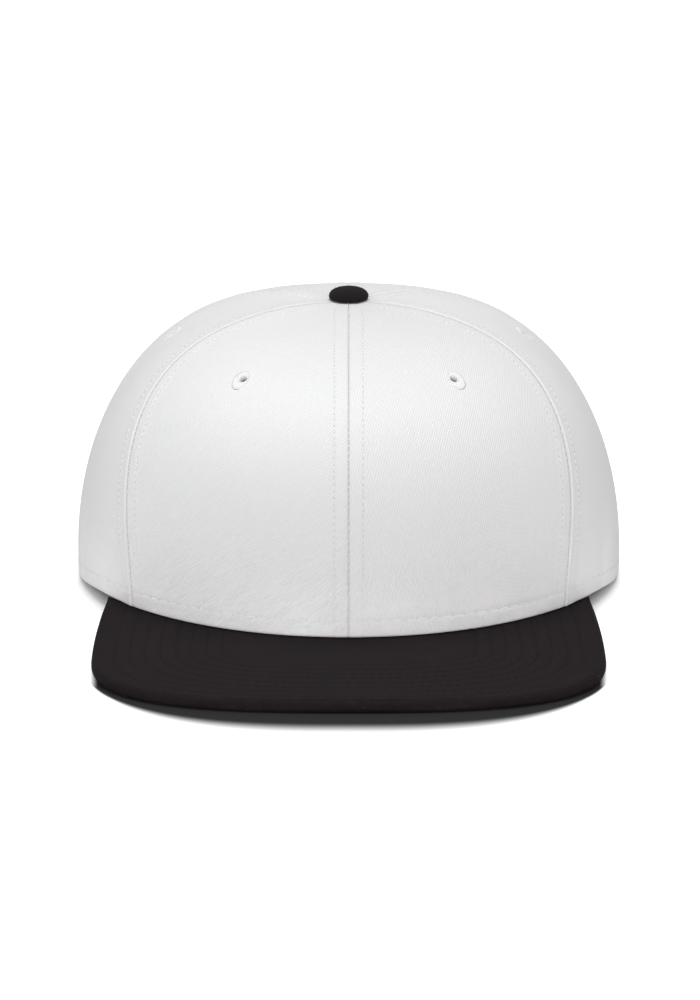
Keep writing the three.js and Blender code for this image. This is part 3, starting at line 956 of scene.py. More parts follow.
@dataclass(frozen=True)
class CrownForm:
    """The crown's outer surface over azimuth and share of height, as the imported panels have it."""

    front_reach: float = 96.9
    side_reach: float = 94.2
    rear_reach: float = 95.8
    height: float = 98.5
    wall: float = 1.6
    front_rim: float = 4.7
    side_rim: float = 0.4
    dimple_depth: float = 1.2
    dimple_reach: float = 16.0
    peak_tail: float = math.radians(60.5)
    arch_half: float = 38.0
    front: Section = Section(5.1, 3.1, 0.0)
    side: Section = Section(1.6, 3.06, -0.12)
    rear: Section = Section(2.75, 2.4, 0.015)

    def plan_reach(self, azimuth: Array) -> Array:
        """Distance of the rim from the apex line."""
        lengthwise = np.where(np.cos(azimuth) > 0.0, self.front_reach, self.rear_reach)
        return 1.0 / np.hypot(np.sin(azimuth) / self.side_reach, np.cos(azimuth) / lengthwise)

    def plan_normal(self, azimuth: Array) -> Array:
        """Outward direction of the rim, level with the floor."""
        lengthwise = np.where(np.cos(azimuth) > 0.0, self.front_reach, self.rear_reach)
        aside, ahead = np.sin(azimuth) / self.side_reach**2, -np.cos(azimuth) / lengthwise**2
        return unit(np.stack([aside, ahead, np.zeros_like(aside)], -1))

    def rim(self, azimuth: Array) -> Array:
        """Height of the rim: on the peak at the front, near the floor at the sides and the rear."""
        turn = np.abs(azimuth)
        corner = math.asin(self.arch_half / self.rear_reach)
        to_side = smooth_step((turn - self.peak_tail) / (math.pi / 2 - self.peak_tail))
        to_rear = smooth_step((turn - math.pi / 2) / (math.pi / 2 - corner))
        return mix(mix(self.front_rim, self.side_rim, to_side), 0.0, to_rear)

    def section(self, azimuth: Array) -> tuple[Array, Array, Array]:
        """Lateness, squareness and lean at an azimuth."""
        sideways = np.sin(azimuth) ** 2
        ahead = np.cos(azimuth) > 0.0
        values = []
        for name in ("lateness", "squareness", "lean"):
            end = np.where(ahead, getattr(self.front, name), getattr(self.rear, name))
            values.append(mix(end, getattr(self.side, name), sideways))
        return values[0], values[1], values[2]

    def radius(self, azimuth: Array, share: Array) -> Array:
        """Distance of the surface from the apex line."""
        lateness, squareness, lean = self.section(azimuth)
        turned = np.maximum(0.0, 1.0 - share**lateness) ** (1.0 / squareness)
        return self.plan_reach(azimuth) * turned * (1.0 - lean * share)

    def outward(self, azimuth: Array, share: Array) -> Array:
        """Direction square to the upright section, out of the crown."""
        lateness, squareness, lean = self.section(azimuth)
        held = np.clip(share, 1e-6, 1.0)
        left = np.maximum(1e-9, 1.0 - held**lateness)
        turned = left ** (1.0 / squareness)
        turn_rate = -(lateness / squareness) * held ** (lateness - 1.0) * turned / left
        radius_rate = self.plan_reach(azimuth) * (turn_rate * (1.0 - lean * held) - lean * turned)
        height_rate = self.height - self.rim(azimuth)
        level = self.plan_normal(azimuth) * height_rate[..., None]
        return unit(level + np.array([0.0, 0.0, 1.0]) * -radius_rate[..., None])

    def place(self, azimuth: Array, share: Array, proud: Array = 0.0) -> Array:
        """Points of the surface, moved outwards by proud.

        Args:
            azimuth: Azimuths in radians.
            share: Shares of the height above the rim.
            proud: Distance out of the surface, in millimetres.

        Returns:
            Points about the apex line, in millimetres.
        """
        azimuth, share, proud = np.broadcast_arrays(azimuth * 1.0, share * 1.0, proud * 1.0)
        radius = self.radius(azimuth, share)
        dimple = self.dimple_depth * bell(radius, self.dimple_reach)
        height = mix(self.rim(azimuth), self.height, share) - dimple
        points = np.stack([radius * np.sin(azimuth), -radius * np.cos(azimuth), height], -1)
        return points + self.outward(azimuth, share) * proud[..., None]

    def share_at_height(self, azimuth: Array, height: Array) -> Array:
        """Share of the height above the rim at which a height lies."""
        rim = self.rim(azimuth)
        return np.clip((height - rim) / (self.height - rim), 0.0, 1.0)


FORM = CrownForm()


@dataclass(frozen=True)
class SeamLine:
    """A seam from the rim to the apex, by its azimuths there."""

    at_rim: float
    at_apex: float
    sweep: float = 1.8

    def azimuth(self, share: Array) -> Array:
        """Azimuth of the seam at a share of the height."""
        return mix(self.at_rim, self.at_apex, share**self.sweep)


CENTRE_SEAM = SeamLine(0.0, 0.0)
FRONT_SIDE_SEAM = SeamLine(math.radians(50.4), math.radians(57.7))
SIDE_REAR_SEAM = SeamLine(math.radians(116.0), math.radians(119.0))
REAR_SEAM = SeamLine(math.pi, math.pi)


@dataclass(frozen=True)
class SeamRelief:
    """How a sewn seam shapes the cloth of one panel, and the shade painted beside it, by the distance from
    the seam.
    """

    crease_depth: float = 0.38
    crease_width: float = 0.4
    lap_height: float = 0.2
    lap_reach: float = 5.6
    stitch_offset: float = 4.8
    groove_depth: float = 0.18
    groove_width: float = 0.4
    lip_height: float = 0.0
    lip_offset: float = 0.9
    lip_width: float = 0.8
    # Strength of the painted shade in the seam's crease.
    crease_darkness: float = 0.45

    def height(self, distance: Array) -> Array:
        """How far the cloth stands out beside the seam."""
        crease = -self.crease_depth * bell(distance, self.crease_width)
        lap = self.lap_height * smooth_step((self.lap_reach - distance) / 1.2 + 0.5)
        groove = -self.groove_depth * bell(distance - self.stitch_offset, self.groove_width)
        lip = self.lip_height * bell(distance - self.lip_offset, self.lip_width)
        return crease + lap + groove + lip

    def darkness(self, distance: Array) -> Array:
        """Painted shade in the seam's crease and along its stitch groove, from 0 to 1."""
        return self.crease_darkness * bell(distance, 0.3) + 0.08 * bell(distance - self.stitch_offset, 0.4)


@dataclass(frozen=True)
class HemRelief:
    """How the folded hem shapes the cloth, and the shade painted in its stitch groove, by the distance from
    its edge.
    """

    fold_height: float = 0.12
    stitch_offset: float = 5.6
    groove_depth: float = 0.2
    groove_width: float = 0.45

    def height(self, distance: Array) -> Array:
        """How far the cloth stands out above the hem."""
        fold = self.fold_height * smooth_step((self.stitch_offset + 0.8 - distance) / 1.2)
        return fold - self.groove_depth * bell(distance - self.stitch_offset, self.groove_width)

    def darkness(self, distance: Array) -> Array:
        """Painted shade in the hem's stitch groove, from 0 to 1."""
        return 0.08 * bell(distance - self.stitch_offset, 0.45)


FLAT_SEAM = SeamRelief()
LIPPED_SEAM = SeamRelief(lip_height=0.26, lap_height=0.3)
# A seam with stronger painted shade in its crease.
SHADOWED_SEAM = SeamRelief(crease_darkness=0.8)
HEM = HemRelief()


@dataclass(frozen=True)
class Softness:
    """Slow unevenness of a structured cloth wall."""

    depth: float = 0.45
    length: float = 38.0
    seed: float = 7.3

    def height(self, points: Array) -> Array:
        """How far the cloth wanders out at points given in millimetres."""
        flat = (points / self.length + self.seed).reshape(-1, 3)
        values = [noise.noise(Vector(point)) for point in flat]
        return self.depth * np.array(values).reshape(points.shape[:-1])


SOFTNESS = Softness()


def on_cloth(azimuth: Array, share: Array, proud: float) -> tuple[Array, Array]:
    """Places on the crown's uneven cloth.

    Args:
        azimuth: Azimuths in radians.
        share: Shares of the height above the rim.
        proud: Distance out of the cloth, in millimetres.

    Returns:
        The points, and the cloth's outward directions.
    """
    seat = proud + SOFTNESS.height(FORM.place(azimuth, share))
    return FORM.place(azimuth, share, seat), FORM.outward(azimuth, share)


@dataclass(frozen=True)
class PanelSpread:
    """Where the mesh lines of a panel run: close together beside seams and hem, wider between."""

    gap: float = 0.03
    seam_steps: tuple = (
        0.0, 0.15, 0.35, 0.6, 0.9, 1.3, 1.9, 2.7, 3.5, 4.0, 4.3, 4.55, 4.8, 5.05, 5.3, 5.7, 6.3, 7.2,
    )
    least_width: float = 17.0
    middle_columns: int = 22
    hem_steps: tuple = (1.2, 1.8, 2.7, 3.7, 4.5, 5.0, 5.3, 5.6, 5.9, 6.2, 6.8, 7.8)
    upper_rows: int = 52
    top_radius: float = 3.0
    samples: int = 900
    crowding: float = 3.1

    def crowd(self, rate: Array) -> Array:
        """Shares of the height that lie closer together towards the apex than the given ones."""
        return 1.0 - (1.0 - rate) ** self.crowding

    def squeeze(self, width: Array) -> Array:
        """How much the steps beside the seams shrink where a panel is narrow."""
        return np.minimum(1.0, width / self.least_width)

    def across(self, width: Array) -> Array:
        """Places of the columns across a panel.

        Args:
            width: The panel's width at each row, in millimetres.

        Returns:
            Shares of that width, along a new last axis.
        """
        edge = (self.squeeze(width) / width)[..., None] * np.array(self.seam_steps)
        between = np.linspace(0.0, 1.0, self.middle_columns + 2)[1:-1]
        middle = mix(edge[..., -1:], 1.0 - edge[..., -1:], between)
        return np.concatenate([edge, middle, 1.0 - edge[..., ::-1]], axis=-1)

    def roll(self, radius: float) -> tuple[Array, Array]:
        """Distances from the edge, and insets, of the rows that round a hem off."""
        angles = np.linspace(0.0, math.pi, 9)[1:-1]
        return radius * (1.0 - np.sin(angles)), radius * (1.0 - np.cos(angles))


SPREAD = PanelSpread()


@dataclass
class PanelGrid:
    """The rows and columns of a panel on the crown's surface."""

    azimuth: Array
    share: Array
    hem: Array
    before: Array
    after: Array
    cloth: Array


@dataclass
class CrownPanel:
    """One of the crown's panels, on the right-hand side; its left twin is its mirror image."""

    name: str
    before: SeamLine
    after: SeamLine
    relief_before: SeamRelief
    relief_after: SeamRelief
    grain: dict
    straight_grain_at: float = 0.5
    arched: bool = False
    arch_height: float = 46.0
    arch_straight: float = 21.0
    corner_turn: float = 16.0
    arch_lean: float = 0.6
    blend_lead: float = 9.0
    lead_share: float = 0.35
    blend_height: float = 64.0
    eyelet_height: float = 86.0
    eyelet_rise: float = 0.85
    spread: PanelSpread = SPREAD
    low_rate: float = 0.08
    low_rate_over_arch: float = 0.52
    high_rate: float = 0.9
    stitch_foot: float = 7.0
    stitch_end_radius: float = 7.6
    line_samples: int = 500

    def width(self, share: Array) -> Array:
        """The panel's width in millimetres at a share of the height."""
        start, end = self.before.azimuth(share), self.after.azimuth(share)
        return FORM.radius((start + end) / 2, share) * (end - start) - 2.0 * self.spread.gap

    @cached_property
    def grid(self) -> PanelGrid:
        """The columns between the seams, and the rows along each of them from the hem's edge to the apex."""
        spread = self.spread
        rate = np.linspace(0.0, 1.0, spread.samples)[:-1]
        share = spread.crowd(rate)
        start, end = self.before.azimuth(share), self.after.azimuth(share)
        width = self.width(share)
        turn = (end - start) / (width + 2.0 * spread.gap)
        columns = (start + turn * spread.gap)[:, None] + (turn * width)[:, None] * spread.across(width)
        lengths = running_length(FORM.place(columns, share[:, None]))
        radii = FORM.radius(columns, share[:, None])
        rolled, _ = spread.roll(FORM.wall / 2)
        edge = np.unique(np.round(rolled, 6))
        near = np.concatenate([edge, [FORM.wall / 2], spread.hem_steps])
        upper = np.linspace(0.0, 1.0, spread.upper_rows + 1)[1:]
        azimuths, shares, hems = [], [], []
        for column in range(columns.shape[1]):
            top = np.interp(-spread.top_radius, -radii[:, column], lengths[:, column])
            wanted = np.concatenate([near, mix(near[-1], top, upper)])
            found = np.interp(wanted, lengths[:, column], rate)
            shares.append(spread.crowd(found))
            azimuths.append(np.interp(found, rate, columns[:, column]))
            hems.append(wanted)
        azimuth, grid_share, hem = (np.array(values).T for values in (azimuths, shares, hems))
        if self.arched:
            azimuth, grid_share, hem = self._bend_round_arch(azimuth, grid_share, hem, near)
        return self._measured(azimuth, grid_share, hem, share, lengths)

    def _measured(
        self, azimuth: Array, share: Array, hem: Array, samples: Array, lengths: Array
    ) -> PanelGrid:
        """Adds the distances from both seams and the cloth coordinates.

        Args:
            azimuth: Azimuths of the grid.
            share: Its shares of the height.
            hem: Its distances from the hem's edge.
            samples: Shares at which the columns were measured.
            lengths: The columns' running lengths there.

        Returns:
            The whole grid.
        """
        radius = FORM.radius(azimuth, share)
        squeeze = self.spread.squeeze(self.width(np.minimum(share, samples[-1])))
        before = np.maximum(0.0, (azimuth - self.before.azimuth(share)) * radius - self.spread.gap) / squeeze
        after = np.maximum(0.0, (self.after.azimuth(share) - azimuth) * radius - self.spread.gap) / squeeze
        straight = mix(self.before.azimuth(share), self.after.azimuth(share), self.straight_grain_at)
        up = np.interp(share, samples, lengths[:, lengths.shape[1] // 2])
        cloth = np.stack([(azimuth - straight) * radius, up], axis=-1)
        return PanelGrid(azimuth, share, hem, before, after, cloth)

    def _arch_line(self) -> tuple[Array, Array, Array]:
        """The hem's edge from the side seam to the rear seam, round the arch.

        Returns:
            Points as (arc from the rear line, height), the edge's normals, and the directions in which rows
            move off it.
        """
        reach = FORM.rear_reach
        corner = reach * math.asin(FORM.arch_half / reach)
        seam = reach * (math.pi - self.before.at_rim)
        rim_arc = np.linspace(seam, corner, 90)
        rim = np.stack([rim_arc, FORM.rim(math.pi - rim_arc / reach)], axis=1)
        cut_side = np.linspace(0.0, self.arch_straight, 40)[1:]
        turn = np.linspace(0.0, math.pi / 2, 90)[1:]
        cut_x = np.concatenate([np.full(len(cut_side), FORM.arch_half), FORM.arch_half * np.cos(turn)])
        crest = self.arch_straight + (self.arch_height - self.arch_straight) * np.sin(turn)
        cut_z = np.concatenate([cut_side, crest])
        angle = np.arcsin(cut_x / reach)
        for _ in range(6):
            radius = FORM.radius(math.pi - angle, FORM.share_at_height(math.pi - angle, cut_z))
            angle = np.arcsin(np.clip(cut_x / radius, 0.0, 1.0))
        cut_edge = np.stack([angle * reach, cut_z], axis=1)
        slopes = unit(np.gradient(cut_edge, axis=0))
        cut_normals = np.stack([slopes[:, 1], -slopes[:, 0]], axis=1)
        off_corner = smooth_step(1.0 - (rim_arc - corner) / self.corner_turn)
        rim_ways = np.stack([off_corner, np.ones_like(rim_arc)], axis=1)
        rise = mix(self.arch_lean, 1.0, smooth_step(1.0 - cut_z / self.corner_turn))
        upright = smooth_step((20.0 - cut_edge[:, 0]) / 10.0)[:, None]
        leaning = cut_normals + np.stack([np.zeros_like(rise), rise], axis=1)
        cut_ways = mix(leaning, np.array([0.0, 1.0]), upright)
        normals = np.concatenate([np.tile([0.0, 1.0], (len(rim), 1)), cut_normals])
        return np.concatenate([rim, cut_edge]), normals, np.concatenate([rim_ways, cut_ways])

    def _bend_round_arch(
        self, azimuth: Array, share: Array, hem: Array, near: Array
    ) -> tuple[Array, Array, Array]:
        """Leads the low rows round the arch, and blends them into the level rows above it.

        Args:
            azimuth: Azimuths of the grid, which are changed in place.
            share: Its shares of the height, changed too.
            hem: Its distances from the hem's edge.
            near: The distances of the rows that keep to the edge.

        Returns:
            Azimuths, shares and distances.
        """
        reach = FORM.rear_reach
        edge, normals, ways = self._arch_line()
        ways = ways / np.sum(ways * normals, axis=1, keepdims=True)
        lengths = running_length(edge)
        steps = len(self.spread.seam_steps)
        left = np.interp((azimuth[0, :steps] - self.before.at_rim) * reach, lengths, lengths)
        right_arc = (math.pi - azimuth[0, -steps:]) * reach
        right = np.interp(-right_arc, -edge[:, 0], lengths)
        middle = np.linspace(left[-1], right[0], azimuth.shape[1] - 2 * steps + 2)[1:-1]
        runs = np.concatenate([left, middle, right])
        foot, way = along(edge, lengths, runs), along(ways, lengths, runs)
        level = int(np.argmax(hem[:, 0] > self.blend_height))
        above = hem[level, 0]
        height_above = mix(FORM.rim(azimuth[level]), FORM.height, share[level])
        for row in range(level):
            distance = min(hem[row, 0], near[-1])
            low = foot + way * distance
            reach_up = np.minimum(self.blend_lead, self.lead_share * (height_above - low[:, 1]))
            lead = low + unit(way) * reach_up[:, None]
            blend = np.clip((hem[row, 0] - near[-1]) / (above - near[-1]), 0.0, 1.0)
            weights = (1.0 - blend) ** 2, 2.0 * blend * (1.0 - blend), blend**2
            row_arc = weights[0] * low[:, 0] + weights[1] * lead[:, 0]
            row_azimuth = (weights[0] + weights[1]) * math.pi - row_arc / reach + weights[2] * azimuth[level]
            row_height = weights[0] * low[:, 1] + weights[1] * lead[:, 1] + weights[2] * height_above
            new_share = FORM.share_at_height(row_azimuth, row_height)
            beside = slice(steps, None)
            azimuth[row, beside] = row_azimuth[beside]
            share[row, beside] = new_share[beside]
        return azimuth, share, hem

    def relief(self, grid: PanelGrid) -> Array:
        """How far the outer face stands out of the plain form.

        Args:
            grid: The panel's grid.

        Returns:
            Distances in millimetres, at every grid point.
        """
        points = FORM.place(grid.azimuth, grid.share)
        fade = smooth_step(FORM.radius(grid.azimuth, grid.share) / 14.0 - 0.2)
        seams = self.relief_before.height(grid.before) + self.relief_after.height(grid.after)
        return seams * fade + HEM.height(grid.hem) + SOFTNESS.height(points)

    def shape(self) -> Shape:
        """The panel as a closed wall with a rolled hem."""
        grid = self.grid
        _, insets = self.spread.roll(FORM.wall / 2)
        rows = len(grid.share)
        order = [*range(rows - 1, -1, -1), *range(1, rows)]
        face = (len(order) - len(insets)) // 2
        inset = np.concatenate([np.zeros(face), insets, np.full(face, FORM.wall)])
        outer = self.relief(grid)
        weight = np.clip(1.0 - inset / FORM.wall, 0.0, 1.0)[:, None]
        proud = outer[order] * weight - inset[:, None]
        points = FORM.place(grid.azimuth[order], grid.share[order], proud)
        # Painted shade of the seam creases and stitch grooves, strongest on the outer face and gone from the
        # inner face.
        dark = self.relief_before.darkness(grid.before) + self.relief_after.darkness(grid.after)
        crease = np.clip((dark + HEM.darkness(grid.hem))[order] * weight, 0.0, 1.0)
        return folded_band(points, grid.cloth[order], crease)

    def seam_line(self, edge: str, offset: float, proud: float) -> tuple[Array, Array]:
        """A line on the panel beside one of its seams.

        Args:
            edge: The seam, "before" or "after".
            offset: Distance from the seam where the panel is wide.
            proud: How far the line stands out of the plain form.

        Returns:
            The line's points from the hem to the button, and the cloth's outward directions.
        """
        over_arch = self.arched and edge == "after"
        first = self.low_rate_over_arch if over_arch else self.low_rate
        low = self.stitch_foot + (self.arch_height if over_arch else 0.0)
        share = self.spread.crowd(np.linspace(first, self.high_rate, self.line_samples))
        width = self.width(share)
        seam = self.before if edge == "before" else self.after
        way = 1.0 if edge == "before" else -1.0
        radius = FORM.radius(seam.azimuth(share), share)
        reach = (self.spread.gap + offset * self.spread.squeeze(width)) / radius
        azimuth = seam.azimuth(share) + way * reach
        shown = (radius > self.stitch_end_radius) & (FORM.place(azimuth, share)[:, 2] > low)
        return on_cloth(azimuth[shown], share[shown], proud)

    def hem_line(self, proud: float) -> tuple[Array, Array]:
        """The line of the hem's stitches, with the cloth's outward directions."""
        grid = self.grid
        row = int(np.argmin(np.abs(grid.hem[:, 0] - HEM.stitch_offset)))
        return on_cloth(grid.azimuth[row], grid.share[row], proud)

    def eyelet_place(self) -> tuple[float, float]:
        """Azimuth and share of the height of the panel's eyelet."""
        high = FORM.share_at_height(np.array(math.pi / 2), self.eyelet_height)
        azimuth = (self.before.azimuth(high) + self.after.azimuth(high)) / 2
        return float(azimuth), float(FORM.share_at_height(azimuth, self.eyelet_height))


# The crown and what is sewn to it


@dataclass
class Eyelet:
    """A sewn eyelet: threads laid side by side over a ring, round a hole through the cloth."""

    width: float = 6.0
    height: float = 8.3
    hole: float = 2.5
    hole_side: float = -0.75
    hole_up: float = 0.55
    rise: float = 0.85
    depth: float = 2.1
    back_width: float = 5.6
    threads: int = 62
    thread: float = 0.42
    sides: int = 5
    stations: int = 10
    cut_wall: float = 0.5
    seam_width: float = 0.2
    seed: int = 11

    @property
    def hole_centre(self) -> Array:
        """Middle of the hole, nearer to the front and the top than the ring's."""
        return np.array([self.hole_side, self.hole_up])

    def outline(self, angle: float, inset: float) -> Array:
        """A point of the ring's outer edge."""
        half_width, half_height = self.width / 2 - inset, self.height / 2 - inset
        return np.array([half_width * math.cos(angle), half_height * math.sin(angle)])

    def shape(self) -> Shape:
        """The ring of threads about +Z, its foot at the cloth's face."""
        chance = np.random.default_rng(self.seed)
        turn = np.linspace(0.0, math.pi, self.stations)
        share = (1.0 - np.cos(turn)) / 2
        shapes = []
        for index in range(self.threads):
            angle = 2.0 * math.pi * (index + 0.25 * chance.random()) / self.threads
            outer = self.outline(angle, self.thread / 2)
            way = np.array([math.cos(angle + 0.12), math.sin(angle + 0.12)])
            inner = self.hole_centre + (self.hole / 2 + self.thread / 2) * way
            over = outer + (inner - outer) * share[:, None]
            crest = (self.rise - self.thread / 2 + 0.06 * chance.random()) * np.sin(turn)
            back = way * self.back_width / 2
            flat = np.concatenate([outer[None], over, inner[None], inner[None] + 0.2 * way, back[None]])
            heights = np.concatenate([[-0.5], crest, [-self.depth + 0.5, -self.depth, -self.depth + 0.3]])
            path = np.concatenate([flat, heights[:, None]], axis=1)
            shapes.append(tube_shape(path, self.thread / 2, self.sides))
        return Shape.joined(shapes)

    def edge(self) -> Shape:
        """A dark tube painted as the shade where the threads go down into the cloth, about +Z."""
        angles = np.linspace(0.0, 2.0 * math.pi, 49)
        line = np.array([self.outline(angle, -0.06) for angle in angles])
        return tube_shape(with_height(line, np.full(len(line), -0.02)), self.seam_width / 2, self.sides)

    def cutter(self) -> Shape:
        """The hole in the cloth under the threads, about +Z."""
        long = 4.0 * self.depth
        shape = round_bar(self.hole / 2 + self.cut_wall, -long, long, 24)
        shape.points = shape.points + np.array([self.hole_side, self.hole_up, 0.0])
        return shape


def tube_shape(path: Array, radius: float, sides: int) -> Shape:
    """A round closed tube along a path.

    Args:
        path: The middle line's points.
        radius: The tube's radius.
        sides: How many steps go round.

    Returns:
        The tube, with cloth coordinates along and round it.
    """
    ahead = unit(np.gradient(path, axis=0))
    guide = np.array([0.0, 0.0, 1.0]) if abs(ahead[:, 2]).mean() < 0.8 else np.array([1.0, 0.0, 0.0])
    across = unit(np.cross(np.cross(ahead[0], path[-1] - path[0] + guide)[None, :], ahead) + 1e-9 * guide)
    upright = unit(np.cross(ahead, across))
    angles = np.linspace(0.0, 2.0 * math.pi, sides, endpoint=False)
    ring = across[:, None] * np.cos(angles)[None, :, None] + upright[:, None] * np.sin(angles)[None, :, None]
    points = (path[:, None] + radius * ring).reshape(-1, 3)
    faces = tube_faces(len(path), sides)
    run = np.repeat(running_length(path), sides)
    turn = np.tile(angles / (2.0 * math.pi), len(path))
    return Shape(points, faces, np.stack([run, turn], axis=1), np.zeros(len(points)))


@dataclass
class Crown:
    """Six twill panels with their seams, topstitching, hem and eyelets."""

    seam_pitch: float = 2.2
    seam_gap: float = 0.55
    hem_pitch: float = 4.35
    hem_gap: float = 0.8
    bridge_pitch: float = 2.3
    bridge_reach: float = 0.4
    bridge_depth: float = 0.16
    thread: Thread = Thread()
    bridge_thread: Thread = Thread(diameter=0.34, lift=0.0, sink=0.12)
    eyelet: Eyelet = field(default_factory=Eyelet)
    eyelet_sink: float = 0.25

    def panels(self) -> list[CrownPanel]:
        """The three panels of the right-hand side."""
        return [
            CrownPanel(
                "front",
                CENTRE_SEAM,
                FRONT_SIDE_SEAM,
                FLAT_SEAM,
                SHADOWED_SEAM,
                {"left": 45.0, "right": 75.0},
                straight_grain_at=0.0,
            ),
            CrownPanel(
                "side",
                FRONT_SIDE_SEAM,
                SIDE_REAR_SEAM,
                LIPPED_SEAM,
                FLAT_SEAM,
                {"left": 60.0, "right": 60.0},
                eyelet_rise=0.65,
            ),
            CrownPanel(
                "rear",
                SIDE_REAR_SEAM,
                REAR_SEAM,
                FLAT_SEAM,
                FLAT_SEAM,
                {"left": 52.0, "right": 66.0},
                straight_grain_at=1.0,
                arched=True,
            ),
        ]

    def build(self) -> None:
        """Makes the panels, their stitches and their eyelets on both sides."""
        thread, holes = WHITE_THREAD.material(), WHITE_HOLE_SHADE.material()
        for panel in self.panels():
            wall = panel.shape()
            rows = self.stitch_rows(panel)
            eyelet = self.eyelet_shapes(panel)
            for side in Side:
                self.build_panel(panel, wall, eyelet, side, thread)
                stitches = [shape.mirrored() if side is Side.LEFT else shape for shape in rows]
                settle(stitches[0].piece(f"topstitch_{panel.name}_{side.word}", thread), Slot.EYELET)
                # Dark pieces painted as the shade in the needle holes.
                settle(stitches[1].piece(f"needle_holes_{panel.name}_{side.word}", holes), Slot.CROWN)
        self.build_bridges(thread)

    def eyelet_shapes(self, panel: CrownPanel) -> list[Shape]:
        """The right-hand eyelet's threads, the painted shade along its edge and the hole's cutter, in place.
        """
        azimuth, share = (np.array(value) for value in panel.eyelet_place())
        origin, outward = on_cloth(azimuth, share, -self.eyelet_sink)
        eyelet = replace(self.eyelet, rise=panel.eyelet_rise)
        shapes = [eyelet.shape(), eyelet.edge(), eyelet.cutter()]
        return [placed(shape, origin, outward) for shape in shapes]

    def build_panel(
        self, panel: CrownPanel, wall: Shape, eyelet: list[Shape], side: Side, thread: bpy.types.Material
    ) -> None:
        """One panel with its eyelet.

        Args:
            panel: The panel's form.
            wall: Its shape on the right-hand side.
            eyelet: The shapes of its eyelet there.
            side: The side to build it on.
            thread: The eyelet's finish.
        """
        cloth = WHITE_TWILL.material(f"{panel.name}_{side.word}", panel.grain[side.word])
        shapes = [wall, *eyelet]
        if side is Side.LEFT:
            shapes = [shape.mirrored() for shape in shapes]
        body, ring, edge, cutter = shapes
        piece = body.piece(f"panel_{panel.name}_{side.word}", cloth)
        cut(piece, [cutter], cloth)
        settle(piece, Slot.CROWN, [f"{panel.name}_panel_{side.word}"])
        settle(
            ring.piece(f"sewn_eyelet_{panel.name}_{side.word}", thread),
            Slot.EYELET,
            [f"eyelet_{panel.name}_{side.word}"],
        )
        # A dark ring painted as the shade round the eyelet's edge.
        settle(edge.piece(f"eyelet_edge_{panel.name}_{side.word}", WHITE_HOLE_SHADE.material()), Slot.EYELET)

    def stitch_rows(self, panel: CrownPanel) -> list[Shape]:
        """The panel's topstitching beside both seams and along its hem, and the painted shade of its needle
        holes.
        """
        rows, holes = [], []
        for edge, relief in (("before", panel.relief_before), ("after", panel.relief_after)):
            seat = float(relief.height(np.array(relief.stitch_offset)))
            path, ups = panel.seam_line(edge, relief.stitch_offset, seat)
            rows.append(self.thread.row(path, ups, self.seam_pitch, self.seam_gap))
            holes.append(self.thread.holes(path, ups, self.seam_pitch))
        path, ups = panel.hem_line(float(HEM.height(np.array(HEM.stitch_offset))))
        rows.append(self.thread.row(path, ups, self.hem_pitch, self.hem_gap))
        holes.append(self.thread.holes(path, ups, self.hem_pitch))
        return [Shape.joined(rows), Shape.joined(holes)]

    def build_bridges(self, thread: bpy.types.Material) -> None:
        """The threads that show across the crease of each seam."""
        shapes = []
        feet = (CENTRE_SEAM, 6.0), (FRONT_SIDE_SEAM, 6.0), (SIDE_REAR_SEAM, 3.0), (REAR_SEAM, 48.0)
        for seam, low in feet:
            bridges = self.bridges(seam, low)
            shapes.append(bridges)
            if seam in (FRONT_SIDE_SEAM, SIDE_REAR_SEAM):
                shapes.append(bridges.mirrored())
        settle(Shape.joined(shapes).piece("seam_threads", thread), Slot.EYELET)

    def bridges(self, seam: SeamLine, low: float) -> Shape:
        """Short threads across one seam.

        Args:
            seam: The seam.
            low: Height of its foot.

        Returns:
            The threads as one shape.
        """
        share = SPREAD.crowd(np.linspace(0.0, 0.9, 600))
        azimuth = seam.azimuth(share)
        path = FORM.place(azimuth, share)
        shown = (path[:, 2] > low) & (FORM.radius(azimuth, share) > 8.0)
        path, azimuth, share = path[shown], azimuth[shown], share[shown]
        lengths = running_length(path)
        wanted = np.arange(self.bridge_pitch, lengths[-1], self.bridge_pitch)
        ups = unit(along(FORM.outward(azimuth, share), lengths, wanted))
        middles = along(path, lengths, wanted) - ups * self.bridge_depth
        ahead = unit(along(np.gradient(path, axis=0), lengths, wanted))
        across = unit(np.cross(ahead, ups)) * self.bridge_reach + ahead * 0.25
        return self.bridge_thread.stitches(middles - across, middles + across, ups)


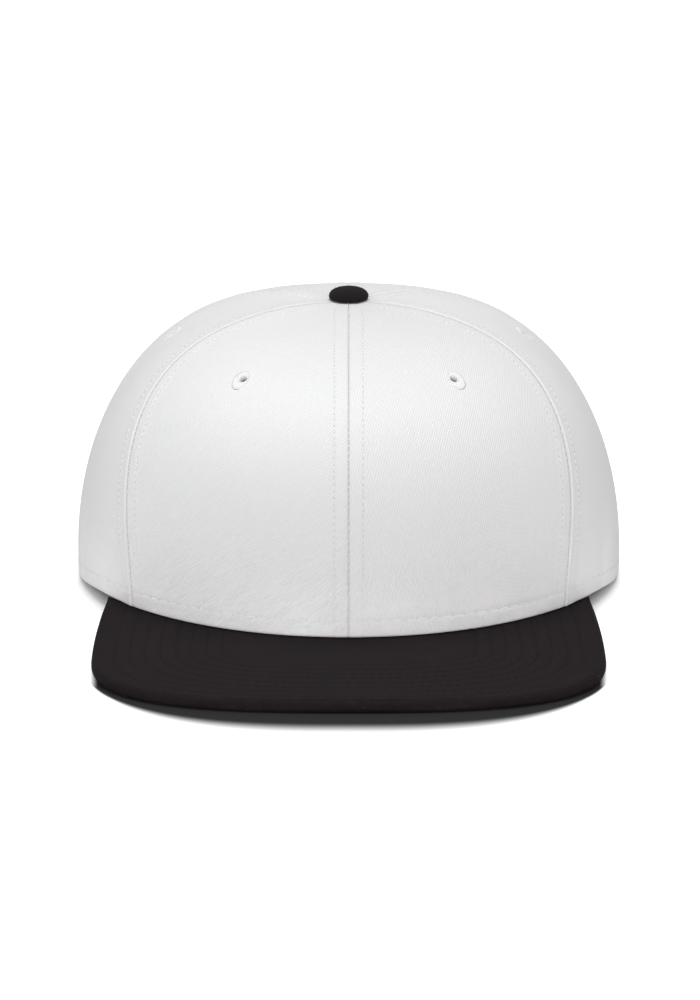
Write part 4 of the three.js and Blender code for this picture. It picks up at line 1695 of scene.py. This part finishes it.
@dataclass
class Button:
    """The covered button on the apex, with its stem and its back disc."""

    diameter: float = 13.7
    rise: float = 4.0
    edge_rise: float = 1.1
    stem: float = 4.0
    back_diameter: float = 17.0
    back_thickness: float = 1.2
    sides: int = 96
    pleat: float = 0.05

    def build(self) -> None:
        """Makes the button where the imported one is."""
        low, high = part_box("button")
        top, foot = high.z / MM, low.z / MM
        seat = top - self.rise
        radius = self.diameter / 2
        angles = np.linspace(0.0, math.pi / 2, 22)
        dome_radii = radius * np.cos(angles) ** 0.72
        dome_heights = seat + self.edge_rise + (self.rise - self.edge_rise) * np.sin(angles)
        under = np.linspace(-math.pi / 2, 0.0, 7)[:-1]
        under_radii = radius - 0.55 * (1.0 - np.cos(under))
        under_heights = seat + self.edge_rise * (1.0 + np.sin(under))
        base = [
            (0.0, foot),
            (self.back_diameter / 2 - 0.3, foot),
            (self.back_diameter / 2, foot + 0.3),
            (self.back_diameter / 2, foot + self.back_thickness - 0.3),
            (self.back_diameter / 2 - 0.3, foot + self.back_thickness),
            (self.stem / 2, foot + self.back_thickness),
            (self.stem / 2, seat),
            (radius - 1.4, seat),
        ]
        profile = np.concatenate(
            [base, np.stack([under_radii, under_heights], 1), np.stack([dome_radii, dome_heights], 1)]
        )
        profile[-1, 0] = 0.0
        near_edge = bell(profile[:, 1] - (seat + self.edge_rise * 0.6), 0.9) * (profile[:, 0] > radius * 0.8)
        shape = lathe_shape(profile, self.sides, self.pleat * near_edge)
        piece = shape.piece("covered_button", BUTTON_TWILL.material("button", 30.0))
        settle(piece, Slot.BUTTON, ["button"])


@dataclass
class Peak:
    """The flat peak: cloth over a board with a rounded edge, and rows of topstitching on both faces."""

    width: float = 171.0
    length: float = 69.5
    thickness: float = 4.4
    edge_round: float = 1.9
    widest_ahead: float = 15.0
    squareness: float = 2.8
    front_share: float = 0.62
    side_taper: float = 3.4
    rows: int = 8
    row_spacing: float = 5.05
    side_margin: float = 7.7
    front_margin: float = 3.6
    inner_squareness: float = 2.35
    stations: int = 150
    groove_depth: float = 0.05
    groove_width: float = 0.45
    puff: float = 0.03
    # Strength of the painted shade along the stitch grooves.
    groove_darkness: float = 0.25
    stitch_pitch: float = 3.0
    stitch_gap: float = 0.7
    thread: Thread = Thread(diameter=0.34, lift=0.0, sink=0.16, hole_length=1.1, hole_depth=0.0)
    hole_rise: float = 0.06
    far: float = 9.0
    steps: tuple = (0.0, 0.06, 0.12, 0.2, 0.34, 0.5, 0.66, 0.8, 0.88, 0.94)

    @property
    def widest(self) -> float:
        """How far ahead of the apex line the peak is widest."""
        return FORM.front_reach + self.widest_ahead

    def outline(self) -> Array:
        """The outer edge from tail to tail, as points on the floor."""
        share = np.linspace(0.0, 1.0, 801)
        side = np.where(share < 0.5, -1.0, 1.0)
        off = np.abs(2.0 * share - 1.0)
        angle = np.clip(off / self.front_share, 0.0, 1.0) * math.pi / 2
        power = 2.0 / self.squareness
        front_x = self.width / 2 * np.sin(angle) ** power
        front_y = self.widest + (self.length - self.widest_ahead) * np.cos(angle) ** power
        back = np.clip((off - self.front_share) / (1.0 - self.front_share), 0.0, 1.0)
        reach = float(FORM.plan_reach(np.array(FORM.peak_tail)))
        tail = (reach * math.sin(FORM.peak_tail), reach * math.cos(FORM.peak_tail))
        back_x = mix(self.width / 2, tail[0], back**2)
        back_y = mix(self.widest, tail[1], back)
        ahead = off <= self.front_share
        return np.stack([side * np.where(ahead, front_x, back_x), -np.where(ahead, front_y, back_y)], axis=1)

    def inner_point(self, azimuth: Array) -> Array:
        """Points under the crown's wall, where the cloth of the peak ends."""
        reach = FORM.plan_reach(azimuth)
        rim = np.stack([reach * np.sin(azimuth), -reach * np.cos(azimuth)], axis=-1)
        return rim - FORM.plan_normal(azimuth)[..., :2] * FORM.wall

    def row_line(self, index: int) -> Array:
        """One row of topstitching, from the crown on one side to the crown on the other."""
        half = self.width / 2 - self.side_margin - index * self.row_spacing
        ahead = self.length - self.widest_ahead - self.front_margin - index * self.row_spacing
        power = 2.0 / mix(self.squareness, self.inner_squareness, index / (self.rows - 1))
        angle = np.linspace(0.0, math.pi / 2, 300)
        reach = self.widest + ahead * np.cos(angle) ** power
        curve = np.stack([half * np.sin(angle) ** power, -reach], axis=1)
        back = np.linspace(0.0, self.widest, 400)[1:]
        leg = np.stack([half - self.side_taper * (back / 64.0) ** 2, back - self.widest], axis=1)
        azimuth = np.arctan2(leg[:, 0], -leg[:, 1])
        inner = np.linalg.norm(self.inner_point(azimuth), axis=1)
        leg = leg[np.linalg.norm(leg, axis=1) > inner]
        right = np.concatenate([curve, leg])
        return np.concatenate([right[::-1] * (-1.0, 1.0), right[1:]])

    def lines(self) -> tuple[list[Array], list[float]]:
        """The lines that the mesh follows, from the outer edge to the crown, each as evenly spaced points.

        Returns:
            The lines, and for each the distance of its points from the nearest stitch row.
        """
        outline = evenly(self.outline(), self.stations)
        rows = [evenly(self.row_line(index), self.stations) for index in range(self.rows)]
        ends = np.arctan2(rows[-1][[0, -1], 0], -rows[-1][[0, -1], 1])
        crown = self.inner_point(np.linspace(ends[0], ends[1], self.stations))
        lines, places = [], []
        for index, (outer, inner) in enumerate(zip([outline, *rows], [*rows, crown])):
            for step in self.steps:
                if index == 0 and 0.0 < step < 0.3:
                    continue
                lines.append(mix(outer, inner, step))
                spacing = np.linalg.norm(inner - outer, axis=1)
                from_outer = spacing * step if index > 0 else self.far
                to_inner = spacing * (1.0 - step) if index < self.rows else self.far
                places.append(np.minimum(from_outer, to_inner))
        lines.append(crown)
        places.append(np.full(self.stations, self.far))
        return lines, places

    def shape(self) -> Shape:
        """The peak as one closed band: top face, rounded edge and under face."""
        lines, distances = self.lines()
        tops = np.stack(lines)
        distance = np.stack(distances)
        groove = bell(distance, self.groove_width)
        puff = self.puff * smooth_step(distance / 2.5) * smooth_step((8.0 - distance) / 3.0)
        relief = puff - self.groove_depth * groove
        room = np.linalg.norm(self.inner_near(tops[0]) - tops[0], axis=1)
        across = unit(tops[1] - tops[0])
        rounding = np.minimum(self.edge_round, 0.45 * room)
        lift = min(self.edge_round, 0.45 * self.thickness)
        angles = np.linspace(0.0, math.pi / 2, 8)[:, None]
        edge = tops[0] + across * (rounding * (1.0 - np.sin(angles)))[..., None]
        drop = np.repeat(lift * (1.0 - np.cos(angles)), self.stations, axis=1)
        edge_map = tops[0] + across * (rounding - self.edge_round * angles)[..., None]
        inner_rows = tops[1:][::-1]
        top_heights = self.thickness + relief[1:][::-1]
        fine = unit_rows(self.softness(inner_rows))
        face = with_height(inner_rows, top_heights + fine)
        upper = np.concatenate([face, with_height(edge, self.thickness - drop)])
        low_heights = np.maximum(0.0, -relief[1:])
        lower = np.concatenate([with_height(edge[::-1], drop[::-1]), with_height(tops[1:], low_heights)])
        rows = np.concatenate([upper, lower])
        # Painted shade along the stitch rows' grooves, the same on the under face.
        painted_shade_upper = np.concatenate([groove[1:][::-1] * self.groove_darkness, np.zeros_like(drop)])
        crease = np.concatenate([painted_shade_upper, painted_shade_upper[::-1]])
        cloth = np.concatenate([inner_rows, edge_map, edge_map[::-1], tops[1:]])
        return folded_band(rows, cloth, crease)

    def softness(self, rows: Array) -> Array:
        """Slow unevenness of the peak's top face."""
        level = np.concatenate([rows, np.zeros((*rows.shape[:2], 1))], axis=-1)
        return Softness(depth=0.16, length=26.0, seed=2.9).height(level)

    def inner_near(self, points: Array) -> Array:
        """The cloth's inner end at the azimuth of each point."""
        azimuth = np.arctan2(points[:, 0], -points[:, 1])
        held = np.clip(azimuth, -FORM.peak_tail, FORM.peak_tail)
        return self.inner_point(held)

    def build(self) -> None:
        """Makes the peak, its stitches and the painted shade of their needle holes."""
        cloth = BLACK_TWILL.material("peak", 62.0)
        settle(self.shape().piece("peak_cloth", cloth), Slot.PEAK, ["visor"])
        thread, hole = BLACK_THREAD.material(), BLACK_HOLE_SHADE.material()
        radius = self.thread.diameter / 2
        faces = ("top", self.thickness - radius, 1.0, self.hole_rise), ("under", radius, -1.0, 0.0)
        for face, height, up, hole_rise in faces:
            rows, holes = [], []
            for index in range(self.rows):
                line = self.row_line(index)
                line = line[self.outside_crown(line)]
                fine = self.softness(line[None])[0] if face == "top" else np.zeros(len(line))
                path = with_height(line, height + fine)
                ups = np.tile([0.0, 0.0, up], (len(path), 1))
                rows.append(self.thread.row(path, ups, self.stitch_pitch, self.stitch_gap))
                # Dark pieces painted as the shade in the needle holes.
                holes.append(self.thread.holes(path + (0.0, 0.0, hole_rise), ups, self.stitch_pitch))
            settle(Shape.joined(rows).piece(f"peak_stitches_{face}", thread), Slot.PEAK)
            settle(Shape.joined(holes).piece(f"peak_needle_holes_{face}", hole), Slot.PEAK)

    def outside_crown(self, line: Array) -> Array:
        """Which points of a line lie ahead of the crown's hem."""
        azimuth = np.arctan2(line[:, 0], -line[:, 1])
        return np.linalg.norm(line, axis=1) > FORM.plan_reach(azimuth) + 0.4


def with_height(rows: Array, heights: Array) -> Array:
    """Points on the floor with heights added."""
    return np.concatenate([rows, heights[..., None]], axis=-1)


def unit_rows(values: Array) -> Array:
    """Unevenness that fades out over the first and the last rows."""
    count = len(values)
    place = np.arange(count)
    fade = smooth_step(place / 4.0) * smooth_step((count - 1 - place) / 4.0)
    return values * fade[:, None]


# Inside the crown and at the rear


@dataclass
class Sweatband:
    """The folded cotton band inside the rim, open at the rear arch."""

    foot: float = 0.5
    height: float = 31.0
    thickness: float = 1.2
    clearance: float = 0.3
    sheet_clearance: float = 0.5
    tape_thickness: float = 1.0
    tape_tuck: float = 12.0
    strap_tuck: float = 8.0
    columns: int = 260
    stitch_heights: tuple = (4.5, 27.5)
    lift_from: float = math.radians(54.0)
    thread: Thread = Thread(diameter=0.38)
    pitch: float = 3.6
    gap: float = 0.8

    @property
    def last(self) -> float:
        """Azimuth of the band's ends."""
        corner = math.asin(FORM.arch_half / FORM.rear_reach)
        return math.pi - corner - (self.strap_tuck + self.clearance) / FORM.rear_reach - self.arc_slack()

    def arc_slack(self) -> float:
        """What the arch's half width measures less on the straight than round the wall, as an angle."""
        half = FORM.arch_half / FORM.rear_reach
        return half - math.asin(half)

    def lift(self, azimuth: Array) -> Array:
        """How far the band's edge stays up, so that it doesn't show under the hem beside the peak."""
        beside = smooth_step((np.abs(azimuth) - self.lift_from) / (FORM.peak_tail - self.lift_from))
        return FORM.rim(azimuth) * beside

    def place(self, azimuth: Array, height: float, extra: float) -> Array:
        """Points of the band, moved inwards by extra."""
        height = height + self.lift(azimuth) * (1.0 - height / self.height)
        share = FORM.share_at_height(azimuth, self.foot + height)
        tape_start = self.height - self.tape_tuck
        lean = np.clip(height / tape_start, 0.0, 1.0) * (self.tape_thickness + self.sheet_clearance)
        wall = FORM.place(azimuth, share)
        wall = wall - FORM.plan_normal(azimuth) * (FORM.wall + self.clearance + lean + extra)[..., None]
        wall[..., 2] = self.foot + height
        return wall

    def relief(self, height: Array) -> Array:
        """Inward swell of the band's face between its stitch rows."""
        grooves = sum(bell(height - row, 0.5) for row in self.stitch_heights)
        swell = np.sin(np.clip((height - 4.5) / 23.0, 0.0, 1.0) * math.pi) ** 0.6
        return 0.35 * swell - 0.3 * grooves

    def build(self) -> None:
        """Makes the band and its stitches."""
        azimuth = np.linspace(-self.last, self.last, self.columns)
        half = self.thickness / 2
        turn = np.linspace(0.0, math.pi, 7)
        low = half * (1.0 - np.sin(turn))
        beside = np.array([-0.6, -0.3, 0.0, 0.3, 0.6])
        stitched = [row + beside for row in self.stitch_heights]
        face = np.unique(np.concatenate([np.linspace(half, self.height - half, 22), *stitched]))
        heights = np.concatenate([face[::-1], low[1:-1], face, self.height - low[::-1][1:-1]])
        depth_turn = half * (1.0 + np.cos(turn))
        inside, outside = np.full(len(face), self.thickness), np.zeros(len(face))
        depths = np.concatenate([inside, depth_turn[1:-1], outside, depth_turn[::-1][1:-1]])
        rows = []
        for height, depth in zip(heights, depths):
            inward = depth + (self.relief(np.array(height)) if depth > half else 0.0)
            rows.append(self.place(azimuth, height, inward))
        shape = plain_band(np.stack(rows), azimuth * FORM.rear_reach, heights[:, None])
        cotton, thread = COTTON_TWILL.material("band", 45.0), WHITE_THREAD.material()
        settle(shape.piece("sweatband_cloth", cotton), Slot.SWEATBAND, ["sweatband"])
        stitch_rows = []
        for height in self.stitch_heights:
            inward = self.thickness + float(self.relief(np.array(height)))
            path = self.place(azimuth, height, inward)
            stitch_rows.append(self.thread.row(path, -FORM.plan_normal(azimuth), self.pitch, self.gap))
        settle(Shape.joined(stitch_rows).piece("sweatband_stitches", thread), Slot.SWEATBAND)


@dataclass
class SeamTape:
    """A woven tape over a seam, inside the crown."""

    width: float = 12.0
    thickness: float = 1.0
    clearance: float = 0.5
    end_radius: float = 12.5
    stitch_offset: float = 4.8
    columns: int = 15
    rows: int = 60
    thread: Thread = Thread(diameter=0.38)
    pitch: float = 3.4
    gap: float = 0.7

    def place(self, seam: SeamLine, share: Array, offset: float, inset: float) -> Array:
        """Points of the tape at a distance from the seam and an inset from the crown's outer face."""
        centre = seam.azimuth(share)
        return FORM.place(centre + offset / FORM.radius(centre, share), share, -inset)

    def shares(self, seam: SeamLine, foot: float) -> Array:
        """Shares of the height of the tape's rows, evenly spaced along it."""
        share = SPREAD.crowd(np.linspace(0.0, 0.97, 800))
        azimuth = seam.azimuth(share)
        points = FORM.place(azimuth, share)
        shown = (points[:, 2] > foot) & (FORM.radius(azimuth, share) > self.end_radius)
        lengths = running_length(points[shown])
        return np.interp(np.linspace(0.0, lengths[-1], self.rows), lengths, share[shown])

    def build(self, name: str, node: str, seam: SeamLine, foot: float, mirror: bool = False) -> None:
        """Makes one tape with its two rows of stitches.

        Args:
            name: The piece's name.
            node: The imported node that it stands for.
            seam: The seam on the right-hand side or in the middle.
            foot: Height of the tape's lower end.
            mirror: Whether it goes on the left-hand side.
        """
        share = self.shares(seam, foot)
        outer = FORM.wall + self.clearance
        half = self.width / 2
        offsets = np.linspace(-half, half, self.columns)
        edge = smooth_step((half - np.abs(offsets)) / 0.8)
        groove = 0.2 * bell(np.abs(offsets) - self.stitch_offset, 0.5)
        inner = outer + self.thickness * mix(0.55, 1.0, edge) - groove
        inner[[0, -1]] = outer + 0.5 * self.thickness
        section = [(offset, outer) for offset in offsets[1:-1]]
        section += [(offset, depth) for offset, depth in zip(offsets[::-1], inner[::-1])]
        points = np.stack([self.place(seam, share, offset, inset) for offset, inset in section])
        lengths = running_length(self.place(seam, share, 0.0, 0.0))
        shape = plain_band(points, np.array(section)[:, :1], lengths)
        inward = -FORM.outward(seam.azimuth(share), share)
        sides = -self.stitch_offset, self.stitch_offset
        paths = [self.place(seam, share, offset, inner[2]) for offset in sides]
        stitches = Shape.joined([self.thread.row(path, inward, self.pitch, self.gap) for path in paths])
        if mirror:
            shape, stitches = shape.mirrored(), stitches.mirrored()
        settle(shape.piece(name, WOVEN_TAPE.material("seam", 90.0)), Slot.TAPE, [node])
        settle(stitches.piece(f"{name}_stitches", WHITE_THREAD.material()), Slot.TAPE)


@dataclass
class SnapStrap:
    """The plastic strap across the rear arch: a half with pegs behind a half with holes."""

    foot: float = 2.0
    height: float = 18.0
    thickness: float = 1.4
    tuck: float = 8.0
    corner: float = 6.0
    step_margin: float = 2.0
    clearance: float = 0.3
    peg_pitch: float = 7.5
    peg_diameter: float = 3.8
    head_diameter: float = 5.2
    head_height: float = 0.7
    end_margin: float = 5.0
    pegs_engaged: int = 5
    pegs_most: int = 7
    stations: int = 130
    sides: int = 32
    edge_round: float = 0.35

    @property
    def free_reach(self) -> float:
        """How far a half reaches past the rear line."""
        return (self.pegs_engaged - 1) / 2 * self.peg_pitch + self.end_margin

    @property
    def tucked(self) -> float:
        """Inset of a half that lies behind its panel."""
        return FORM.wall + self.clearance

    @property
    def raised(self) -> float:
        """Inset of the outer half where it lies over the other."""
        return self.tucked - self.thickness - self.clearance

    def peg_arcs(self) -> list[float]:
        """Places of the pegs along the strap."""
        arcs = [(peg - (self.pegs_engaged - 1) / 2) * self.peg_pitch for peg in range(self.pegs_most)]
        return [arc for arc in arcs if arc + self.head_diameter / 2 + self.clearance < FORM.arch_half]

    def wall_point(self, arc: Array, height: Array, inset: Array) -> Array:
        """Points beside the rear wall, moved level with the floor towards the inside."""
        azimuth = math.pi - arc / FORM.rear_reach
        point = FORM.place(azimuth, FORM.share_at_height(azimuth, height))
        point = point - FORM.plan_normal(azimuth) * (inset * np.ones_like(arc))[..., None]
        point[..., 2] = height
        return point

    def strap_inset(self, arc: Array, steps_out: bool) -> Array:
        """Inset of a half along its length."""
        if not steps_out:
            return np.full_like(arc, self.tucked)
        clear_of_panel = FORM.arch_half - 2.0 * self.clearance
        clear_of_pegs = self.free_reach + self.step_margin
        share = (arc - clear_of_pegs) / (clear_of_panel - clear_of_pegs)
        return mix(self.raised, self.tucked, smooth_step(share))

    def half(self, steps_out: bool) -> Shape:
        """One half of the strap on the side of +X, with a rounded free end and softened edges."""
        end = FORM.arch_half + self.tuck
        turn = np.linspace(0.0, math.pi / 2, 14)
        tip = -self.free_reach + self.corner * (1.0 - np.cos(turn))
        arcs = np.concatenate([tip, np.linspace(tip[-1], end, self.stations)[1:]])
        near = np.clip((-self.free_reach + self.corner - arcs) / self.corner, 0.0, 1.0)
        trim = self.corner * (1.0 - np.sqrt(np.maximum(0.0, 1.0 - near**2)))
        inset = self.strap_inset(arcs, steps_out)
        bend = np.linspace(0.0, math.pi / 2, 5)
        small = self.edge_round
        edge = [(small * (1.0 - math.cos(a)), small * (1.0 - math.sin(a))) for a in bend]
        section = [(down, depth) for down, depth in reversed(edge)]
        section += [(down, self.thickness - depth) for down, depth in edge]
        rows = []
        for down, depth in section:
            rows.append(self.wall_point(arcs, self.foot + trim + down, inset + depth))
        for down, depth in reversed(section):
            rows.append(self.wall_point(arcs, self.foot + self.height - trim - down, inset + depth))
        points = np.stack(rows)
        return plain_band(points, arcs, points[..., 2])

    def across_strap(self, arc: float, shape: Shape) -> Shape:
        """A turned form square to the strap at one place.

        Args:
            arc: The place along the strap.
            shape: The form about Z, its heights measured outwards from the crown's face.

        Returns:
            The form in place.
        """
        azimuth = np.array(math.pi - arc / FORM.rear_reach)
        origin = self.wall_point(np.array([arc]), np.array([self.foot + self.height / 2]), 0.0)[0]
        return placed(shape, origin, FORM.plan_normal(azimuth))

    def peg(self, arc: float) -> Shape:
        """One peg with its rounded head."""
        seat = -(self.raised - self.clearance)
        shank, head = self.peg_diameter / 2, self.head_diameter / 2
        turn = np.linspace(0.0, math.pi / 2, 6)
        heights = seat + self.head_height * (0.35 + 0.65 * np.sin(turn))
        dome = np.stack([head * np.cos(turn) ** 0.5, heights], axis=1)
        dome[-1, 0] = 0.0
        foot = -(self.tucked + self.thickness / 2)
        base = np.array([(0.0, foot), (shank, foot), (shank, seat), (head - 0.25, seat)])
        return self.across_strap(arc, lathe_shape(np.concatenate([base, dome]), self.sides))

    def hole(self, arc: float) -> Shape:
        """The round hole that a peg passes through."""
        far = 3.0 * self.thickness
        bar = round_bar(self.peg_diameter / 2 + self.clearance, -self.tucked - far, far, self.sides)
        return self.across_strap(arc, bar)

    def build(self) -> None:
        """Makes both halves of the strap."""
        plastic = BLACK_PLASTIC.material()
        pegs = Shape.joined([self.half(steps_out=False), *(self.peg(arc) for arc in self.peg_arcs())])
        settle(pegs.piece("strap_pegs", plastic), Slot.STRAP, ["snap_strap_right"])
        holes = self.half(steps_out=True).mirrored().piece("strap_holes", plastic)
        cut(holes, [self.hole(arc).mirrored() for arc in self.peg_arcs()], plastic)
        settle(holes, Slot.STRAP, ["snap_strap_left"])


# The studio


class ContactShade(EffectGroup):
    """The painted shade on the floor before a rounded outline, from 0 at the outline to 1 away from it."""

    title = "contact_shade"
    inputs = (
        ("Place", "NodeSocketVector", None),
        ("Middle", "NodeSocketVector", (0.0, 0.0, 0.0)),
        ("Half Width", "NodeSocketFloat", 0.1),
        ("Half Length", "NodeSocketFloat", 0.1),
        ("Squareness", "NodeSocketFloat", 2.0),
        ("Core", "NodeSocketFloat", 0.0),
        ("Side Core", "NodeSocketFloat", 0.0),
        ("Reach", "NodeSocketFloat", 0.02),
        ("Taper", "NodeSocketFloat", 0.0),
        ("Edge", "NodeSocketFloat", 0.005),
        ("One Sided", "NodeSocketFloat", 0.0),
    )
    outputs = (("Light", "NodeSocketFloat"),)

    @classmethod
    def wire(cls, graph: Graph, given: bpy.types.NodeOutputs) -> dict:
        """Measures how far outside the outline a place lies lengthwise, and eases that over the reach."""
        moved = graph.add("ShaderNodeVectorMath", operation="SUBTRACT")
        graph.feed(moved.inputs[0], given["Middle"])
        graph.feed(moved.inputs[1], given["Place"])
        split = graph.add("ShaderNodeSeparateXYZ")
        graph.feed(split.inputs[0], moved.outputs[0])
        aside, ahead = graph.math("ABSOLUTE", split.outputs["X"]), split.outputs["Y"]
        share = graph.math("MINIMUM", graph.math("DIVIDE", aside, given["Half Width"]), 1.0)
        left = graph.math("SUBTRACT", 1.0, graph.math("POWER", share, given["Squareness"]))
        curve = graph.math("POWER", left, graph.math("DIVIDE", 1.0, given["Squareness"]))
        mirror = graph.math("MULTIPLY", ahead, graph.math("SUBTRACT", given["One Sided"], 1.0))
        away = graph.math("MAXIMUM", ahead, mirror)
        beyond = graph.math("SUBTRACT", away, graph.math("MULTIPLY", curve, given["Half Length"]))
        narrowed = graph.math("POWER", left, given["Taper"])
        side_core = graph.math("MULTIPLY", given["Side Core"], graph.math("SUBTRACT", 1.0, left))
        core = graph.math("MULTIPLY_ADD", given["Core"], narrowed, side_core)
        past_core = graph.math("SUBTRACT", beyond, core)
        reach = graph.math("MAXIMUM", graph.math("MULTIPLY", given["Reach"], narrowed), given["Edge"])
        past_side = graph.math("SUBTRACT", aside, graph.math("SUBTRACT", given["Half Width"], given["Edge"]))
        behind = graph.math("MULTIPLY", graph.math("MULTIPLY", given["One Sided"], -1.0), ahead)
        outside = graph.math("DIVIDE", graph.math("MAXIMUM", past_side, behind), given["Edge"])
        furthest = graph.math("MAXIMUM", graph.math("DIVIDE", past_core, reach), outside)
        light = graph.add("ShaderNodeMapRange", interpolation_type="SMOOTHSTEP", clamp=True)
        graph.feed(light.inputs["Value"], furthest)
        return {"Light": light.outputs["Result"]}


@dataclass(frozen=True)
class Softbox:
    """A rectangular area light that points at a height on the cap's middle line."""

    name: str
    place: tuple
    width: float
    height: float
    power: float
    aim_height: float = 0.05
    spread: float = math.pi

    def build(self) -> None:
        """Makes the lamp."""
        light = bpy.data.lights.new(self.name, "AREA")
        light.shape = "RECTANGLE"
        light.size = self.width
        light.size_y = self.height
        light.energy = self.power
        light.spread = self.spread
        lamp = bpy.data.objects.new(self.name, light)
        lamp.location = self.place
        way = Vector((0.0, 0.0, self.aim_height)) - lamp.location
        lamp.rotation_euler = way.to_track_quat("-Z", "Y").to_euler()
        bpy.context.scene.collection.objects.link(lamp)


@dataclass
class Studio:
    """Plain pale floor, soft light and the photograph's camera."""

    distance: float = 2.2
    elevation: float = math.radians(15.0)
    target_height: float = 0.05
    aim_drop: float = 0.0236
    aim_side: float = 0.00045
    lens: float = 227.8
    sensor: float = 36.0
    floor_size: float = 30.0
    floor_colour: Colour = (0.75, 0.75, 0.75)
    floor_shade: Colour = (0.028, 0.028, 0.028)
    floor_glow: float = 0.65
    world_strength: float = 0.5
    peak_shade_core: float = 0.0098
    peak_shade_reach: float = 0.0155
    peak_shade_edge: float = 0.004
    crown_shade_core: float = -0.032
    crown_shade_reach: float = 0.045
    crown_shade_edge: float = 0.006
    lights: tuple = (
        Softbox("front_light", (-0.2, -2.6, 0.45), 1.0, 1.0, 33.0),
        Softbox("top_light", (0.0, 0.2, 2.2), 1.4, 1.4, 27.6),
        Softbox("hem_light", (0.0, -2.6, 0.10), 1.2, 0.03, 0.05, aim_height=0.002, spread=math.radians(1.6)),
    )

    def build(self) -> None:
        """Makes the floor, the light and the camera."""
        self.build_floor()
        self.build_world()
        for light in self.lights:
            light.build()
        self.build_camera()
        bpy.context.scene.view_settings.view_transform = "Standard"
        LOG.info("studio: camera at %s", bpy.context.scene.camera.location)

    def build_floor(self) -> None:
        """A wide pale floor at the height that the cap rests on, with soft shade painted where the cap
        touches it.
        """
        half = self.floor_size / 2
        mesh = bpy.data.meshes.new("studio_floor")
        corners = [(-half, -half, 0.0), (half, -half, 0.0), (half, half, 0.0), (-half, half, 0.0)]
        mesh.from_pydata(corners, [], [(0, 1, 2, 3)])
        material, graph, shader = shader_graph("pale_floor")
        place = place_socket(graph)
        peak = Peak()
        ahead = Vector((0.0, -peak.widest * MM, 0.0))
        beside_peak = ContactShade.place(
            graph,
            Place=place,
            Middle=tuple(AXIS + ahead),
            Half_Width=peak.width / 2 * MM + self.peak_shade_edge / 4,
            Half_Length=(peak.length - peak.widest_ahead) * MM,
            Squareness=peak.squareness,
            Core=self.peak_shade_core,
            Reach=self.peak_shade_reach,
            Taper=1.0,
            Edge=self.peak_shade_edge,
            One_Sided=1.0,
        )
        beside_crown = ContactShade.place(
            graph,
            Place=place,
            Middle=tuple(AXIS),
            Half_Width=FORM.side_reach * MM + self.crown_shade_edge / 2,
            Half_Length=FORM.front_reach * MM,
            Side_Core=self.crown_shade_core,
            Reach=self.crown_shade_reach,
            Edge=self.crown_shade_edge,
        )
        # Painted shade: it darkens the floor's colour before the peak, and its glow before the peak and round
        # the crown.
        light = graph.math("MULTIPLY", beside_peak["Light"], beside_crown["Light"])
        painted = graph.blend(beside_peak["Light"], rgba(self.floor_shade), rgba(self.floor_colour))
        seen = graph.math("MULTIPLY", light, graph.add("ShaderNodeLightPath").outputs["Is Camera Ray"])
        glow = graph.blend(seen, rgba((0.0, 0.0, 0.0)), rgba((1.0, 1.0, 1.0)))
        graph.fill(
            shader,
            Base_Color=painted,
            Roughness=0.9,
            Specular_IOR_Level=0.05,
            Emission_Strength=self.floor_glow,
            Emission_Color=glow,
        )
        mesh.materials.append(material)
        floor = bpy.data.objects.new("studio_floor", mesh)
        bpy.context.scene.collection.objects.link(floor)
        floor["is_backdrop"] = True

    def build_world(self) -> None:
        """Even white light from all round."""
        world = bpy.data.worlds.new("studio_world")
        world.use_nodes = True
        background = world.node_tree.nodes["Background"]
        background.inputs["Color"].default_value = (1.0, 1.0, 1.0, 1.0)
        background.inputs["Strength"].default_value = self.world_strength
        bpy.context.scene.world = world

    def build_camera(self) -> None:
        """The photograph's camera: a long lens from the front and a little above."""
        data = bpy.data.cameras.new("photo_camera")
        data.lens = self.lens
        data.sensor_width = self.sensor
        data.clip_start = 0.05
        data.clip_end = 50.0
        camera = bpy.data.objects.new("photo_camera", data)
        target = AXIS + Vector((0.0, 0.0, self.target_height))
        back = Vector((0.0, -math.cos(self.elevation), math.sin(self.elevation)))
        upward = Vector((0.0, math.sin(self.elevation), math.cos(self.elevation)))
        camera.location = target + back * self.distance
        aim = target - upward * self.aim_drop + Vector((self.aim_side, 0.0, 0.0))
        camera.rotation_euler = (aim - camera.location).to_track_quat("-Z", "Y").to_euler()
        bpy.context.scene.collection.objects.link(camera)
        bpy.context.scene.camera = camera


def build_tapes() -> None:
    """The six seam tapes inside the crown."""
    tape = SeamTape()
    band_top = 19.5
    tape.build("tape_front", "seam_tape_front", CENTRE_SEAM, band_top)
    tape.build("tape_rear", "seam_tape_rear", REAR_SEAM, 47.0)
    for side in Side:
        mirror = side is Side.LEFT
        for end, seam in (("front", FRONT_SIDE_SEAM), ("rear", SIDE_REAR_SEAM)):
            name = f"tape_{end}_{side.word}"
            tape.build(name, f"seam_{name}", seam, band_top, mirror)


def write_sizes() -> None:
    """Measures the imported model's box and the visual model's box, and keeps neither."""
    boxes = {"cad": CAD_BOX, "visual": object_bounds()}
    {name: [list(low), list(high)] for name, (low, high) in boxes.items()}


def main() -> None:
    """Builds the studio and the cap, piece by piece."""
    logging.basicConfig(level=logging.INFO, format="%(name)s: %(message)s")
    Studio().build()
    Crown().build()
    Button().build()
    Peak().build()
    Sweatband().build()
    build_tapes()
    SnapStrap().build()
    write_sizes()


if __name__ == "__main__":
    main()
